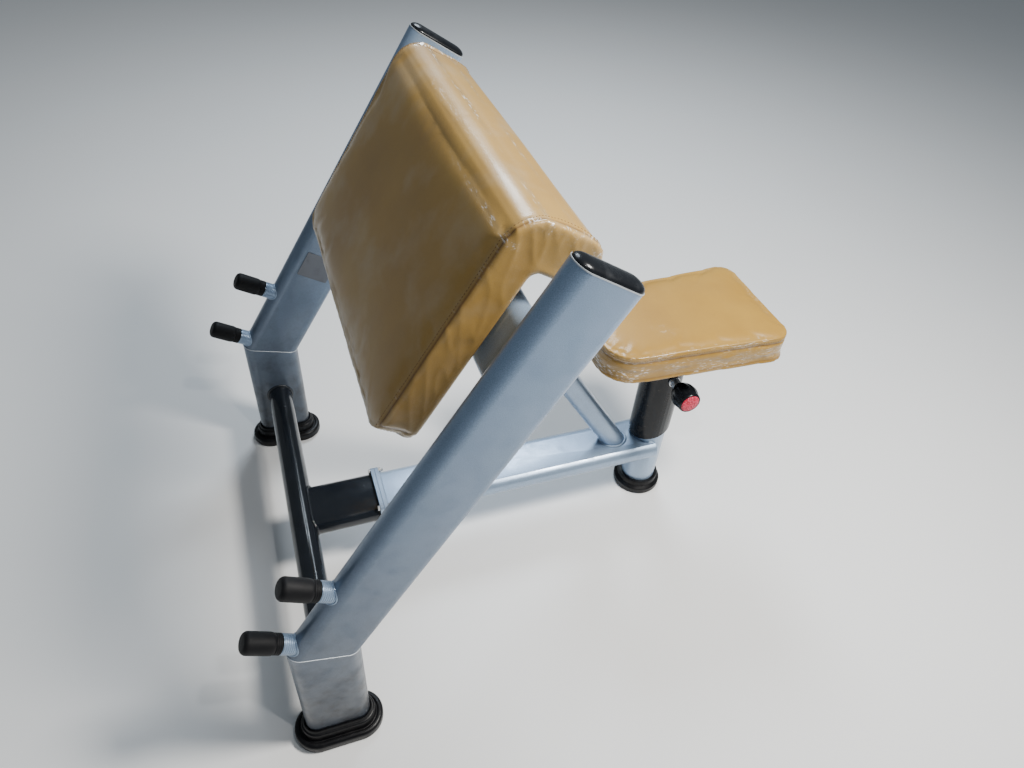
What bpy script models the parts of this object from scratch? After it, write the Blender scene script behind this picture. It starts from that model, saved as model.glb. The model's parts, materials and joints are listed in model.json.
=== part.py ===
"""Preacher-curl bench with a height-adjustable seat.

Metres, +Z up.  X is the length: the bar pegs point towards -X and the seat is at +X.
Y is the width, symmetric about Y = 0.  The user sits at +X facing -X, so their left is -Y.
The two side frames, the arm pad and its fixings are set out on the incline: a local frame
whose X runs up the slope, whose Y is the world's Y and whose Z points out of the front.
"""
import math

import bmesh
import bpy
from mathutils import Matrix, Vector

# ---------------------------------------------------------------- driving dimensions
GAP = 0.0003                    # clearance between touching pieces
ARC_STEPS = 10                  # segments on each round side of a flat-oval tube
ROUND_STEPS = 32                # segments round a tube or turned piece

OVAL_WIDTH = 0.115              # flat-oval tube, the long way of its section
OVAL_THICKNESS = 0.043
WALL = 0.003

FOOT_X = -0.4338                # axis of the front legs
TRACK = 0.768                   # side frame to side frame, centre to centre
BEND_Z = 0.283                  # where the leg meets the incline
INCLINE_ANGLE = math.radians(58.7)
INCLINE_LENGTH = 0.760
BOOT_FLOOR = 0.006
BOOT_HEIGHT = 0.045

PEG_RADIUS = 0.011
COLLAR_RADIUS = 0.0165
PEG_SLEEVE_RADIUS = 0.018
PEG_STATIONS = {"lower": 0.004, "upper": 0.139}
COLLAR_END = 0.0740             # heights above the tube's axis plane
PEG_END = 0.1290
PEG_SLEEVE_END = 0.1350

CROSS_TUBE_RADIUS = 0.026
CROSS_TUBE_Z = 0.149
BASE_Z = 0.145
FLANGE_X = FOOT_X + 0.162       # joint face of the two flanges
FLANGE_THICKNESS = 0.008
FLANGE_HALF = (0.058, 0.0315)
FLANGE_BOLT = (0.050, 0.0245)
BOLT_RADIUS = 0.003
BOLT_HEAD_RADIUS = 0.0058
BOLT_HEAD_HEIGHT = 0.0042
BOLT_LENGTH = 0.027
NUT_HEIGHT = 0.0052

BEAM_STATION = 0.588            # cross beam, measured up the incline
BRACE_RADIUS = 0.025

POST_X = FOOT_X + 0.793
POST_RADIUS = 0.0395
POST_TOP = 0.433
POST_SLEEVE_RADIUS = 0.0450
POST_SLEEVE_BOTTOM = 0.174
POST_SLEEVE_TILT = math.radians(20)
FOOT_FLOOR = 0.008

SEAT_TUBE_RADIUS = 0.0335
SEAT_TUBE_BOTTOM = 0.103
SEAT_HOLE_RADIUS = 0.006
SEAT_HOLE_PITCH = 0.025
SEAT_HOLES = 7
BUSH_RADIUS = 0.0362
PIN_Z = 0.363
PIN_RADIUS = 0.005
PIN_TIP = 0.0260                # distances from the post's axis
HOUSING_NECK_RADIUS = 0.008
KNOB_INNER = 0.0680
KNOB_OUTER = 0.1170

SEAT_PLATE_Z = 0.4455
SEAT_PLATE_THICKNESS = 0.005
SEAT_BOARD_THICKNESS = 0.012
SEAT_TOP = 0.516
SEAT_FRONT = FOOT_X + 0.595
SEAT_REAR = FOOT_X + 0.988
SEAT_HALF_FRONT = 0.113
SEAT_HALF_REAR = 0.134
BOARD_INSET = 0.008

PAD_HALF_WIDTH = 0.305
PAD_BOARD_BACK = 0.0281         # heights above the incline's axis plane
PAD_BOARD_THICKNESS = 0.012
PAD_BOTTOM = 0.362              # stations up the incline
PAD_TOP = 0.764
PAD_FRONT = 0.091
NOSE_UNDERSIDE = 0.692
NOSE_END = -0.056
PAD_CORNER_RADIUS = 0.052
BRACKET_Y = 0.17
BRACKET_THICKNESS = 0.006
BRACKET_SPAN = (0.470, 0.684)
PAD_SCREW_STATIONS = {"lower": 0.493, "upper": 0.667}
SCREW_RADIUS = 0.003
SCREW_HEAD_RADIUS = 0.0065
SCREW_HEAD_HEIGHT = 0.0045

COLOURS = {                     # base colour, roughness, metallic
    "silver_paint": ((0.36, 0.41, 0.47), 0.42, 0.55),
    "black_paint": ((0.020, 0.022, 0.026), 0.35, 0.20),
    "black_plastic": ((0.012, 0.012, 0.014), 0.22, 0.00),
    "rubber": ((0.016, 0.016, 0.016), 0.75, 0.00),
    "chrome": ((0.75, 0.76, 0.78), 0.12, 1.00),
    "zinc": ((0.55, 0.56, 0.58), 0.35, 1.00),
    "nylon": ((0.70, 0.69, 0.64), 0.50, 0.00),
    "plywood": ((0.50, 0.36, 0.20), 0.70, 0.00),
    "tan_leather": ((0.42, 0.24, 0.08), 0.35, 0.00),
    "red_plastic": ((0.60, 0.02, 0.05), 0.40, 0.00),
    "aluminium": ((0.62, 0.63, 0.65), 0.38, 0.90),
}


# ---------------------------------------------------------------- scene helpers
def clear_scene():
    for obj in list(bpy.data.objects):
        bpy.data.objects.remove(obj, do_unlink=True)


def make_material(name):
    colour, roughness, metallic = COLOURS[name]
    material = bpy.data.materials.new(name)
    material.use_nodes = True
    shader = material.node_tree.nodes["Principled BSDF"]
    shader.inputs["Base Color"].default_value = (*colour, 1.0)
    shader.inputs["Roughness"].default_value = roughness
    shader.inputs["Metallic"].default_value = metallic
    material.diffuse_color = (*colour, 1.0)
    return material


def make_collection(name, hidden=False):
    collection = bpy.data.collections.new(name)
    bpy.context.scene.collection.children.link(collection)
    collection.hide_render = hidden
    return collection


clear_scene()
BENCH = make_collection("Preacher_Curl_Bench")
CUTTERS = make_collection("Cutters", hidden=True)
MATERIALS = {name: make_material(name) for name in COLOURS}


def place(name, data, material, matrix):
    """Link data as one named sub-part at matrix; material None makes it a cutter."""
    obj = bpy.data.objects.new(name, data)
    obj.matrix_world = matrix
    if material is None:
        CUTTERS.objects.link(obj)
        obj.hide_render = True
        obj.display_type = "WIRE"
        return obj
    data.materials.append(MATERIALS[material])
    BENCH.objects.link(obj)
    return obj


def finish_mesh(mesh, angle=35):
    mesh.shade_smooth()
    mesh.set_sharp_from_angle(angle=math.radians(angle))
    return mesh


def mesh_from(bm, name):
    bmesh.ops.recalc_face_normals(bm, faces=bm.faces)
    mesh = bpy.data.meshes.new(name)
    bm.to_mesh(mesh)
    bm.free()
    return finish_mesh(mesh)


def bevel(obj, width, segments=2, angle=40):
    modifier = obj.modifiers.new("edges", "BEVEL")
    modifier.width = width
    modifier.segments = segments
    modifier.limit_method = "ANGLE"
    modifier.angle_limit = math.radians(angle)
    return obj


def boolean(obj, cutter, operation="DIFFERENCE"):
    modifier = obj.modifiers.new(operation.lower(), "BOOLEAN")
    modifier.operation = operation
    modifier.solver = "EXACT"
    modifier.object = cutter
    return obj


# ---------------------------------------------------------------- places and directions
UP_SLOPE = Vector((math.cos(INCLINE_ANGLE), 0, math.sin(INCLINE_ANGLE)))
OUT_FRONT = Vector((-UP_SLOPE.z, 0, UP_SLOPE.x))
WIDTHWAYS = Vector((0, 1, 0))


def axes(x, y, z, origin):
    """A placement matrix from three directions and an origin."""
    matrix = Matrix((x, y, z)).transposed().to_4x4()
    matrix.translation = origin
    return matrix


INCLINE = axes(UP_SLOPE, WIDTHWAYS, OUT_FRONT, Vector((FOOT_X, 0, BEND_Z)))
# an outline drawn as (station, height) on the incline and pushed out widthways
INCLINE_SIDE = INCLINE @ Matrix.Rotation(math.radians(90), 4, "X")
LENGTHWAYS = Matrix(((0, 0, 1, 0), (1, 0, 0, 0), (0, 1, 0, 0), (0, 0, 0, 1)))
TOWARDS_LEFT = Matrix.Rotation(math.radians(90), 4, "X")     # local Z along -Y


def at(x, y, z):
    return Matrix.Translation((x, y, z))


def post_at(z):
    return at(POST_X, 0, z)


# ---------------------------------------------------------------- shape helpers
def arc(centre, radius, start, end, steps):
    """Points on an arc, angles in degrees, both ends included."""
    angles = [math.radians(start + (end - start) * i / steps) for i in range(steps + 1)]
    return [(centre[0] + radius * math.cos(a), centre[1] + radius * math.sin(a)) for a in angles]


def stadium(inset=0.0):
    """The flat-oval section, its long way along X, shrunk all round by inset."""
    reach = (OVAL_WIDTH - OVAL_THICKNESS) / 2
    radius = OVAL_THICKNESS / 2 - inset
    return (arc((reach, 0), radius, -90, 90, ARC_STEPS)
            + arc((-reach, 0), radius, 90, 270, ARC_STEPS))


def rounded(corners, steps=6):
    """A closed outline from (x, y, radius) corners in order, each corner an arc."""
    points = []
    for i, (x, y, radius) in enumerate(corners):
        corner = Vector((x, y))
        before = (Vector(corners[i - 1][:2]) - corner).normalized()
        after = (Vector(corners[(i + 1) % len(corners)][:2]) - corner).normalized()
        if radius == 0:
            points.append((x, y))
            continue
        half = before.angle(after) / 2
        centre = corner + (before + after).normalized() * radius / math.sin(half)
        start = corner + before * radius / math.tan(half) - centre
        end = corner + after * radius / math.tan(half) - centre
        turn = start.angle_signed(end)
        for step in range(steps + 1):
            points.append(tuple(centre + Matrix.Rotation(-turn * step / steps, 2) @ start))
    return points


def slab(name, outlines, depth, material, matrix):
    """Flat outlines, the later ones being holes, pushed out by depth along local Z."""
    curve = bpy.data.curves.new(name, "CURVE")
    curve.dimensions = "2D"
    curve.fill_mode = "BOTH"
    curve.extrude = depth / 2
    for outline in outlines:
        spline = curve.splines.new("POLY")
        spline.points.add(len(outline) - 1)
        for point, (x, y) in zip(spline.points, outline):
            point.co = (x, y, 0, 1)
        spline.use_cyclic_u = True
    source = bpy.data.objects.new(name + "_outline", curve)
    CUTTERS.objects.link(source)
    graph = bpy.context.evaluated_depsgraph_get()
    mesh = bpy.data.meshes.new_from_object(source.evaluated_get(graph))
    bpy.data.objects.remove(source, do_unlink=True)
    bm = bmesh.new()
    bm.from_mesh(mesh)
    bmesh.ops.remove_doubles(bm, verts=bm.verts, dist=1e-6)
    bm.to_mesh(mesh)
    bm.free()
    return place(name, finish_mesh(mesh), material, matrix @ at(0, 0, depth / 2))


def turned(name, profile, material, matrix, steps=ROUND_STEPS):
    """A solid of revolution about local Z from (radius, height) points, top to bottom."""
    mesh = bpy.data.meshes.new(name)
    edges = [(i, i + 1) for i in range(len(profile) - 1)]
    closed = profile[0][0] > 0
    if closed:
        edges.append((len(profile) - 1, 0))
    mesh.from_pydata([(radius, 0, height) for radius, height in profile], edges, [])
    obj = place(name, mesh, material, matrix)
    screw = obj.modifiers.new("turn", "SCREW")
    screw.steps = steps
    screw.render_steps = steps
    screw.use_merge_vertices = True
    screw.merge_threshold = 1e-5
    screw.use_smooth_shade = True
    return obj


def rod(name, radius, depth, material, matrix, steps=ROUND_STEPS):
    """A cylinder standing on local Z = 0."""
    bm = bmesh.new()
    bmesh.ops.create_cone(bm, cap_ends=True, segments=steps, radius1=radius, radius2=radius, depth=depth)
    bmesh.ops.translate(bm, verts=bm.verts, vec=(0, 0, depth / 2))
    return place(name, mesh_from(bm, name), material, matrix)


def oval_loft(name, sections, material, matrix):
    """Flat-oval rings at (inset, height), joined in order, the first and last closed."""
    bm = bmesh.new()
    rings = []
    for inset, height in sections:
        rings.append([bm.verts.new((x, y, height)) for x, y in stadium(inset)])
    skin(bm, rings)
    bm.faces.new(rings[0])
    bm.faces.new(rings[-1])
    return place(name, mesh_from(bm, name), material, matrix)


def skin(bm, rings):
    for lower, upper in zip(rings, rings[1:]):
        for i in range(len(lower)):
            j = (i + 1) % len(lower)
            bm.faces.new((lower[i], lower[j], upper[j], upper[i]))


def oval_tube(name, length, material, matrix):
    return slab(name, [stadium(), stadium(WALL)], length, material, matrix)


def round_tube(name, radius, bottom, top, material, matrix, wall=WALL):
    profile = [(radius, top), (radius, bottom), (radius - wall, bottom), (radius - wall, top)]
    return turned(name, profile, material, matrix)


# ---------------------------------------------------------------- side frames
def side_frame(side, y):
    """One flat-oval tube: an upright leg mitred into the incline, both ends open."""
    half_bend = (math.pi / 2 - INCLINE_ANGLE) / 2
    mitre = Vector((-math.cos(half_bend), 0, math.sin(half_bend)))
    stations = [
        (Vector((FOOT_X, y, BOOT_FLOOR + GAP)), Vector((-1, 0, 0))),
        (Vector((FOOT_X, y, BEND_Z)), mitre / math.cos(half_bend)),
        (INCLINE @ Vector((INCLINE_LENGTH, y, 0)), OUT_FRONT),
    ]
    bm = bmesh.new()
    skins = []
    for inset in (0.0, WALL):
        rings = []
        for centre, across in stations:
            points = [centre + across * u + WIDTHWAYS * v for u, v in stadium(inset)]
            rings.append([bm.verts.new(point) for point in points])
        skin(bm, rings)
        skins.append(rings)
    for end in (0, -1):
        skin(bm, [skins[0][end], skins[1][end]])
    place("side_frame_" + side, mesh_from(bm, "side_frame_" + side), "silver_paint", Matrix())


def end_cap(side, y):
    inside = WALL + GAP
    sections = [(inside + 0.001, -0.022), (inside, -0.019), (inside, GAP), (0.0005, GAP),
                (0.0005, 0.0020), (0.0030, 0.0050), (0.0080, 0.0075), (0.0140, 0.0090)]
    top = axes(OUT_FRONT, -WIDTHWAYS, UP_SLOPE, INCLINE @ Vector((INCLINE_LENGTH, y, 0)))
    oval_loft("end_cap_" + side, sections, "black_plastic", top)


def front_boot(side, y):
    """A stepped rubber boot that the leg stands in."""
    sections = [(-0.0185, 0), (-0.0225, 0.004), (-0.0225, 0.013), (-0.0175, 0.016), (-0.0090, 0.028),
                (-0.0055, BOOT_HEIGHT - 0.002), (-0.0040, BOOT_HEIGHT), (-GAP, BOOT_HEIGHT),
                (-GAP, BOOT_FLOOR)]
    oval_loft("front_boot_" + side, sections, "rubber", at(FOOT_X, y, 0))


def bar_peg(side, level, y, tube_front):
    """A short bar rest square to the incline: steel rod, collar and rubber sleeve."""
    name = side + "_" + level
    matrix = INCLINE @ at(PEG_STATIONS[level], y, 0)
    inside_tube = 0.040
    peg = rod("peg_rod_" + name, PEG_RADIUS, PEG_END - inside_tube, "zinc", matrix @ at(0, 0, inside_tube))
    boolean(peg, tube_front)
    collar = round_tube("peg_collar_" + name, COLLAR_RADIUS, inside_tube, COLLAR_END, "silver_paint",
                        matrix, COLLAR_RADIUS - PEG_RADIUS - GAP)
    boolean(collar, tube_front)
    bore = PEG_RADIUS + GAP
    outer = PEG_SLEEVE_RADIUS
    end = PEG_SLEEVE_END
    start = COLLAR_END + GAP
    profile = [(0, end), (outer - 0.006, end), (outer - 0.002, end - 0.0015), (outer, end - 0.005),
               (outer, start + 0.002), (outer - 0.001, start), (bore, start), (bore, PEG_END + GAP),
               (0, PEG_END + GAP)]
    turned("peg_grip_" + name, profile, "rubber", matrix, 24)


def label_plate():
    """A blank data plate on the inner face of the right-hand frame."""
    outline = rounded([(0.212, -0.032, 0.003), (0.270, -0.032, 0.003), (0.270, 0.034, 0.003),
                       (0.212, 0.034, 0.003)], 3)
    inner_face = (TRACK - OVAL_THICKNESS) / 2
    thickness = 0.001
    slab("data_plate", [outline], thickness, "aluminium", INCLINE_SIDE @ at(0, 0, -inner_face + GAP))


def build_side_frames():
    for side, sign in (("left", -1), ("right", 1)):
        y = sign * TRACK / 2
        side_frame(side, y)
        end_cap(side, y)
        front_boot(side, y)
        along = axes(OUT_FRONT, -WIDTHWAYS, UP_SLOPE, INCLINE @ Vector((-0.1, y, 0)))
        along = along @ at((OVAL_WIDTH - OVAL_THICKNESS) / 2, 0, 0)
        tube_front = rod("tube_front_" + side, OVAL_THICKNESS / 2 + GAP, 0.4, None, along, 48)
        for level in PEG_STATIONS:
            bar_peg(side, level, y, tube_front)
    label_plate()


# ---------------------------------------------------------------- base
def flange(name, x):
    half_width, half_height = FLANGE_HALF
    corners = [(half_width * i, half_height * j, 0.009) for i, j in ((1, 1), (-1, 1), (-1, -1), (1, -1))]
    matrix = at(x, 0, BASE_Z) @ LENGTHWAYS
    plate = slab(name, [rounded(corners, 4)], FLANGE_THICKNESS, "silver_paint", matrix)
    bevel(plate, 0.0008, 1)
    for i, (y, z) in enumerate(bolt_places()):
        through = at(x - 0.01, y, BASE_Z + z) @ LENGTHWAYS
        boolean(plate, rod(f"{name}_hole_{i}", BOLT_RADIUS + GAP, 0.03, None, through, 16))


def bolt_places():
    y, z = FLANGE_BOLT
    return [(y, z), (-y, z), (-y, -z), (y, -z)]


def flange_fastener(number, y, z):
    """A hexagon bolt through both flanges, head to the front, and its nut behind."""
    head_back = FLANGE_X - FLANGE_THICKNESS - GAP
    name = f"flange_bolt_{number}"
    bolt = rod(name, BOLT_HEAD_RADIUS, BOLT_HEAD_HEIGHT, "zinc",
               at(head_back - BOLT_HEAD_HEIGHT, y, BASE_Z + z) @ LENGTHWAYS, 6)
    shank = rod(name + "_shank", BOLT_RADIUS, BOLT_LENGTH + 0.002, None,
                at(head_back - 0.002, y, BASE_Z + z) @ LENGTHWAYS, 16)
    boolean(bolt, shank, "UNION")
    nut_front = FLANGE_X + FLANGE_THICKNESS + 2 * GAP
    nut = rod(f"flange_nut_{number}", BOLT_HEAD_RADIUS, NUT_HEIGHT, "zinc",
              at(nut_front, y, BASE_Z + z) @ LENGTHWAYS, 6)
    bore = rod(f"flange_nut_{number}_bore", BOLT_RADIUS + GAP, 0.02, None,
               at(nut_front - 0.005, y, BASE_Z + z) @ LENGTHWAYS, 16)
    boolean(nut, bore)


def build_base():
    half_span = (TRACK - OVAL_THICKNESS) / 2 - GAP
    across = at(FOOT_X, 0, CROSS_TUBE_Z) @ TOWARDS_LEFT
    round_tube("cross_tube", CROSS_TUBE_RADIUS, -half_span, half_span, "black_paint", across)

    saddle = rod("cross_tube_saddle", CROSS_TUBE_RADIUS + GAP, 0.4, None, across @ at(0, 0, -0.2), 48)
    stub_start = FOOT_X + 0.012
    stub_end = FLANGE_X - FLANGE_THICKNESS - GAP
    lengthways = at(stub_start, 0, BASE_Z) @ LENGTHWAYS
    stub = oval_tube("front_stub", stub_end - stub_start, "black_paint", lengthways)
    boolean(stub, saddle)

    flange("flange_front", FLANGE_X - FLANGE_THICKNESS)
    flange("flange_rear", FLANGE_X + GAP)
    for number, (y, z) in enumerate(bolt_places(), start=1):
        flange_fastener(number, y, z)

    base_start = FLANGE_X + FLANGE_THICKNESS + 2 * GAP
    lengthways = at(base_start, 0, BASE_Z) @ LENGTHWAYS
    base = oval_tube("base_tube", POST_X - base_start, "silver_paint", lengthways)
    plug_start = at(POST_X - 0.0045, 0, BASE_Z) @ LENGTHWAYS
    boolean(base, slab("base_end_plug", [stadium(0.001)], 0.004, None, plug_start), "UNION")
    boolean(base, rod("post_saddle", POST_RADIUS + GAP, 0.2, None, post_at(BASE_Z - 0.1), 48))


# ---------------------------------------------------------------- pad support
def cross_beam():
    half_span = (TRACK - OVAL_THICKNESS) / 2 - GAP
    matrix = INCLINE @ at(BEAM_STATION, half_span, 0) @ TOWARDS_LEFT
    oval_tube("cross_beam", 2 * half_span, "silver_paint", matrix)


def brace_tube():
    """A round strut from the back of the cross beam to the top of the base tube."""
    top = INCLINE @ Vector((BEAM_STATION, 0, 0))
    foot = Vector((POST_X - 0.091, 0, BASE_Z + OVAL_THICKNESS / 2))
    run = foot - top
    matrix = axes(run.cross(WIDTHWAYS).normalized() * -1, WIDTHWAYS, run.normalized(), top)
    bm = bmesh.new()
    bmesh.ops.create_cone(bm, cap_ends=True, segments=ROUND_STEPS, radius1=BRACE_RADIUS,
                          radius2=BRACE_RADIUS, depth=run.length + 0.1)
    bmesh.ops.translate(bm, verts=bm.verts, vec=(0, 0, run.length / 2))
    bmesh.ops.transform(bm, verts=bm.verts, matrix=matrix)
    beam_back = top - OUT_FRONT * (OVAL_THICKNESS / 2 + GAP)
    for point, outward in ((beam_back, OUT_FRONT), (foot + Vector((0, 0, GAP)), Vector((0, 0, -1)))):
        geometry = bm.verts[:] + bm.edges[:] + bm.faces[:]
        bmesh.ops.bisect_plane(bm, geom=geometry, plane_co=point, plane_no=outward, clear_outer=True)
        bmesh.ops.holes_fill(bm, edges=bm.edges)
    place("brace_tube", mesh_from(bm, "brace_tube"), "silver_paint", Matrix())


def pad_brackets():
    """Two steel straps between the cross beam and the board, and their screws."""
    low, high = BRACKET_SPAN
    half = 0.045
    beam_front = OVAL_THICKNESS / 2 + GAP
    board = bpy.data.objects["arm_pad_board"]
    for side, sign in (("left", -1), ("right", 1)):
        corners = [(low, -half, 0.008), (high, -half, 0.008), (high, half, 0.008), (low, half, 0.008)]
        outline = rounded(corners, 4)
        matrix = INCLINE @ at(0, sign * BRACKET_Y, beam_front)
        strap = slab("pad_bracket_" + side, [outline], BRACKET_THICKNESS, "silver_paint", matrix)
        for level, station in PAD_SCREW_STATIONS.items():
            name = f"pad_screw_{side}_{level}"
            place_here = matrix @ at(station, 0, 0)
            hole = rod(name + "_hole", SCREW_RADIUS + GAP, 0.026, None, place_here @ at(0, 0, -0.010), 16)
            boolean(strap, hole)
            boolean(board, hole)
            screw(name, place_here @ at(0, 0, -GAP), 0.0148)


def screw(name, matrix, length):
    """A button-head screw whose head sits under local Z = 0 and whose shank rises."""
    head = SCREW_HEAD_RADIUS
    profile = [(0, length), (SCREW_RADIUS - 0.0006, length), (SCREW_RADIUS, length - 0.0006),
               (SCREW_RADIUS, 0), (head, 0), (head, -0.0015), (head - 0.0015, -SCREW_HEAD_HEIGHT + 0.0006),
               (0.0030, -SCREW_HEAD_HEIGHT), (0.0018, -0.002), (0, -0.002)]
    turned(name, profile, "zinc", matrix, 18)


# ---------------------------------------------------------------- arm pad
def arm_pad():
    """An L-shaped pad: the sloping arm rest and the nose that meets the chest."""
    back = PAD_BOARD_BACK
    front = back + PAD_BOARD_THICKNESS
    nose_top = NOSE_UNDERSIDE + PAD_BOARD_THICKNESS
    board_low = PAD_BOTTOM + BOARD_INSET
    board_nose = NOSE_END + BOARD_INSET
    half = PAD_HALF_WIDTH - BOARD_INSET

    def outline(reach, grow):
        return [(board_low - grow, back - reach), (NOSE_UNDERSIDE - reach, back - reach),
                (NOSE_UNDERSIDE - reach, board_nose - grow), (nose_top + grow, board_nose - grow),
                (nose_top + grow, front + grow), (board_low - grow, front + grow)]

    board = slab("arm_pad_board", [outline(0, 0)], 2 * half, "plywood", INCLINE_SIDE @ at(0, 0, -half))
    boolean(board, face_trim("arm_pad_board_trim", BOARD_INSET), "INTERSECT")
    recess = slab("arm_pad_recess", [outline(0.008, GAP)], 2 * (half + GAP), None,
                  INCLINE_SIDE @ at(0, 0, -half - GAP))

    boolean(recess, face_trim("arm_pad_recess_trim", BOARD_INSET - GAP), "INTERSECT")

    corners = [(PAD_BOTTOM, back, 0.004), (PAD_BOTTOM, PAD_FRONT, 0.016), (PAD_TOP, PAD_FRONT, 0.046),
               (PAD_TOP, NOSE_END, 0.026), (NOSE_UNDERSIDE, NOSE_END, 0.010), (NOSE_UNDERSIDE, back, 0)]
    cushion = slab("arm_pad_cushion", [rounded(corners)], 2 * PAD_HALF_WIDTH, "tan_leather",
                   INCLINE_SIDE @ at(0, 0, -PAD_HALF_WIDTH))
    boolean(cushion, face_trim("arm_pad_trim", 0), "INTERSECT")
    bevel(cushion, 0.012, 3, 60)
    boolean(cushion, recess)


def face_trim(name, inset):
    """A cutter of the pad's face, whose two lower corners are round."""
    low = PAD_BOTTOM + inset
    high = PAD_TOP + 0.01
    half = PAD_HALF_WIDTH - inset
    lower = PAD_CORNER_RADIUS - inset
    corners = [(low, -half, lower), (high, -half, 0), (high, half, 0), (low, half, lower)]
    return slab(name, [rounded(corners, 8)], 0.2, None, INCLINE @ at(0, 0, -0.09))


# ---------------------------------------------------------------- seat post
def seat_post():
    round_tube("seat_post", POST_RADIUS, FOOT_FLOOR + GAP, POST_TOP, "silver_paint", post_at(0))
    bore = POST_RADIUS + GAP
    base = 0.055
    collar = 0.0470
    profile = [(bore, 0.034), (collar - 0.001, 0.034), (collar, 0.033), (collar, 0.020),
               (base - 0.002, 0.0165), (base, 0.0145), (base, 0.003), (base - 0.003, 0), (0, 0)]
    inside = [(0, FOOT_FLOOR), (bore, FOOT_FLOOR)]
    turned("rear_foot", inside + profile, "rubber", post_at(0))

    sleeve = round_tube("post_sleeve", POST_SLEEVE_RADIUS, POST_SLEEVE_BOTTOM - 0.03, POST_TOP,
                        "black_plastic", post_at(0), POST_SLEEVE_RADIUS - POST_RADIUS - GAP)
    front_edge = Vector((POST_X - POST_SLEEVE_RADIUS, 0, POST_SLEEVE_BOTTOM))
    slope = Matrix.Rotation(-POST_SLEEVE_TILT, 4, "Y")
    below = Matrix.Translation(front_edge) @ slope @ at(0, 0, -0.2)
    boolean(sleeve, rod("post_sleeve_trim", 0.2, 0.2, None, below, 16))

    port = rod("pin_port", HOUSING_NECK_RADIUS + GAP, 0.05, None, pin_axis() @ at(0, 0, 0.030), 24)
    boolean(sleeve, port)
    boolean(bpy.data.objects["seat_post"], port)

    lining = SEAT_TUBE_RADIUS + GAP
    rim = POST_TOP + GAP
    profile = [(POST_RADIUS - 0.0006, rim + 0.003), (POST_RADIUS - 0.0003, rim), (BUSH_RADIUS, rim),
               (BUSH_RADIUS, POST_TOP - 0.030), (lining, POST_TOP - 0.030), (lining, rim + 0.003)]
    turned("post_bush", profile, "nylon", post_at(0))


def pin_axis():
    """Local Z runs from the post's axis out through the pull pin, towards the user's left."""
    return at(POST_X, 0, PIN_Z) @ TOWARDS_LEFT


def pin_housing():
    bore = PIN_RADIUS + GAP
    seat = POST_SLEEVE_RADIUS + 0.0005
    neck = POST_RADIUS - 0.0023
    profile = [(bore, 0.0665), (0.0105, 0.0665), (0.0110, 0.0660), (0.0110, seat + 0.0045),
               (0.0130, seat + 0.0040), (0.0130, seat), (HOUSING_NECK_RADIUS, seat),
               (HOUSING_NECK_RADIUS, neck), (bore, neck)]
    turned("pin_housing", profile, "zinc", pin_axis(), 24)


# ---------------------------------------------------------------- moving pieces
def joint_origin(name, matrix):
    empty = bpy.data.objects.new(name, None)
    empty.empty_display_size = 0.05
    empty.matrix_world = matrix
    BENCH.objects.link(empty)
    return empty


def ride(empty, names):
    """Parent pieces to a joint's empty without moving them."""
    for name in names:
        piece = bpy.data.objects[name]
        piece.parent = empty
        piece.matrix_parent_inverse = empty.matrix_basis.inverted()


def pull_pin():
    end = KNOB_OUTER - 0.0055
    profile = [(0, end), (PIN_RADIUS, end), (PIN_RADIUS, PIN_TIP + 0.0015), (PIN_RADIUS - 0.0012, PIN_TIP),
               (0, PIN_TIP)]
    turned("pull_pin", profile, "chrome", pin_axis(), 24)

    bore = PIN_RADIUS + GAP
    recess = 0.0190
    floor = KNOB_OUTER - 0.0030
    profile = [(0, floor), (recess, floor), (recess, KNOB_OUTER), (recess + 0.0020, KNOB_OUTER),
               (0.0250, KNOB_OUTER - 0.006), (0.0275, KNOB_OUTER - 0.018), (0.0270, KNOB_OUTER - 0.030),
               (0.0230, KNOB_OUTER - 0.042), (0.0170, KNOB_INNER), (bore, KNOB_INNER),
               (bore, end + GAP), (0, end + GAP)]
    turned("pull_knob", profile, "black_plastic", pin_axis())

    face = floor + GAP
    rim = recess - GAP
    profile = [(0, face + 0.0042), (0.0100, face + 0.0038), (0.0170, face + 0.0030), (rim, face + 0.0020),
               (rim, face), (0, face)]
    turned("knob_cap", profile, "red_plastic", pin_axis())
    ride(joint_origin("pull_pin_joint", pin_axis()), ["pull_pin", "pull_knob", "knob_cap"])


def seat_tube():
    top = SEAT_PLATE_Z - GAP
    tube = round_tube("seat_tube", SEAT_TUBE_RADIUS, SEAT_TUBE_BOTTOM, top, "chrome", post_at(0))
    for i in range(SEAT_HOLES):
        axis = at(0, 0, -SEAT_HOLE_PITCH * i) @ pin_axis() @ at(0, 0, 0.02)
        boolean(tube, rod(f"seat_tube_hole_{i}", SEAT_HOLE_RADIUS, 0.04, None, axis, 16))
    lining = SEAT_TUBE_RADIUS + GAP
    low = SEAT_TUBE_BOTTOM
    round_tube("seat_tube_glide", BUSH_RADIUS, low, low + 0.030, "nylon", post_at(0), BUSH_RADIUS - lining)


def seat_outline(inset):
    """The seat's plan: a trapezoid, narrower towards the arm pad, with round corners."""
    front = SEAT_FRONT + inset
    rear = SEAT_REAR - inset
    narrow = SEAT_HALF_FRONT - inset
    wide = SEAT_HALF_REAR - inset
    corners = [(rear, -wide, 0.038 - inset), (rear, wide, 0.038 - inset),
               (front, narrow, 0.068 - inset), (front, -narrow, 0.068 - inset)]
    return rounded(corners, 8)


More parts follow.
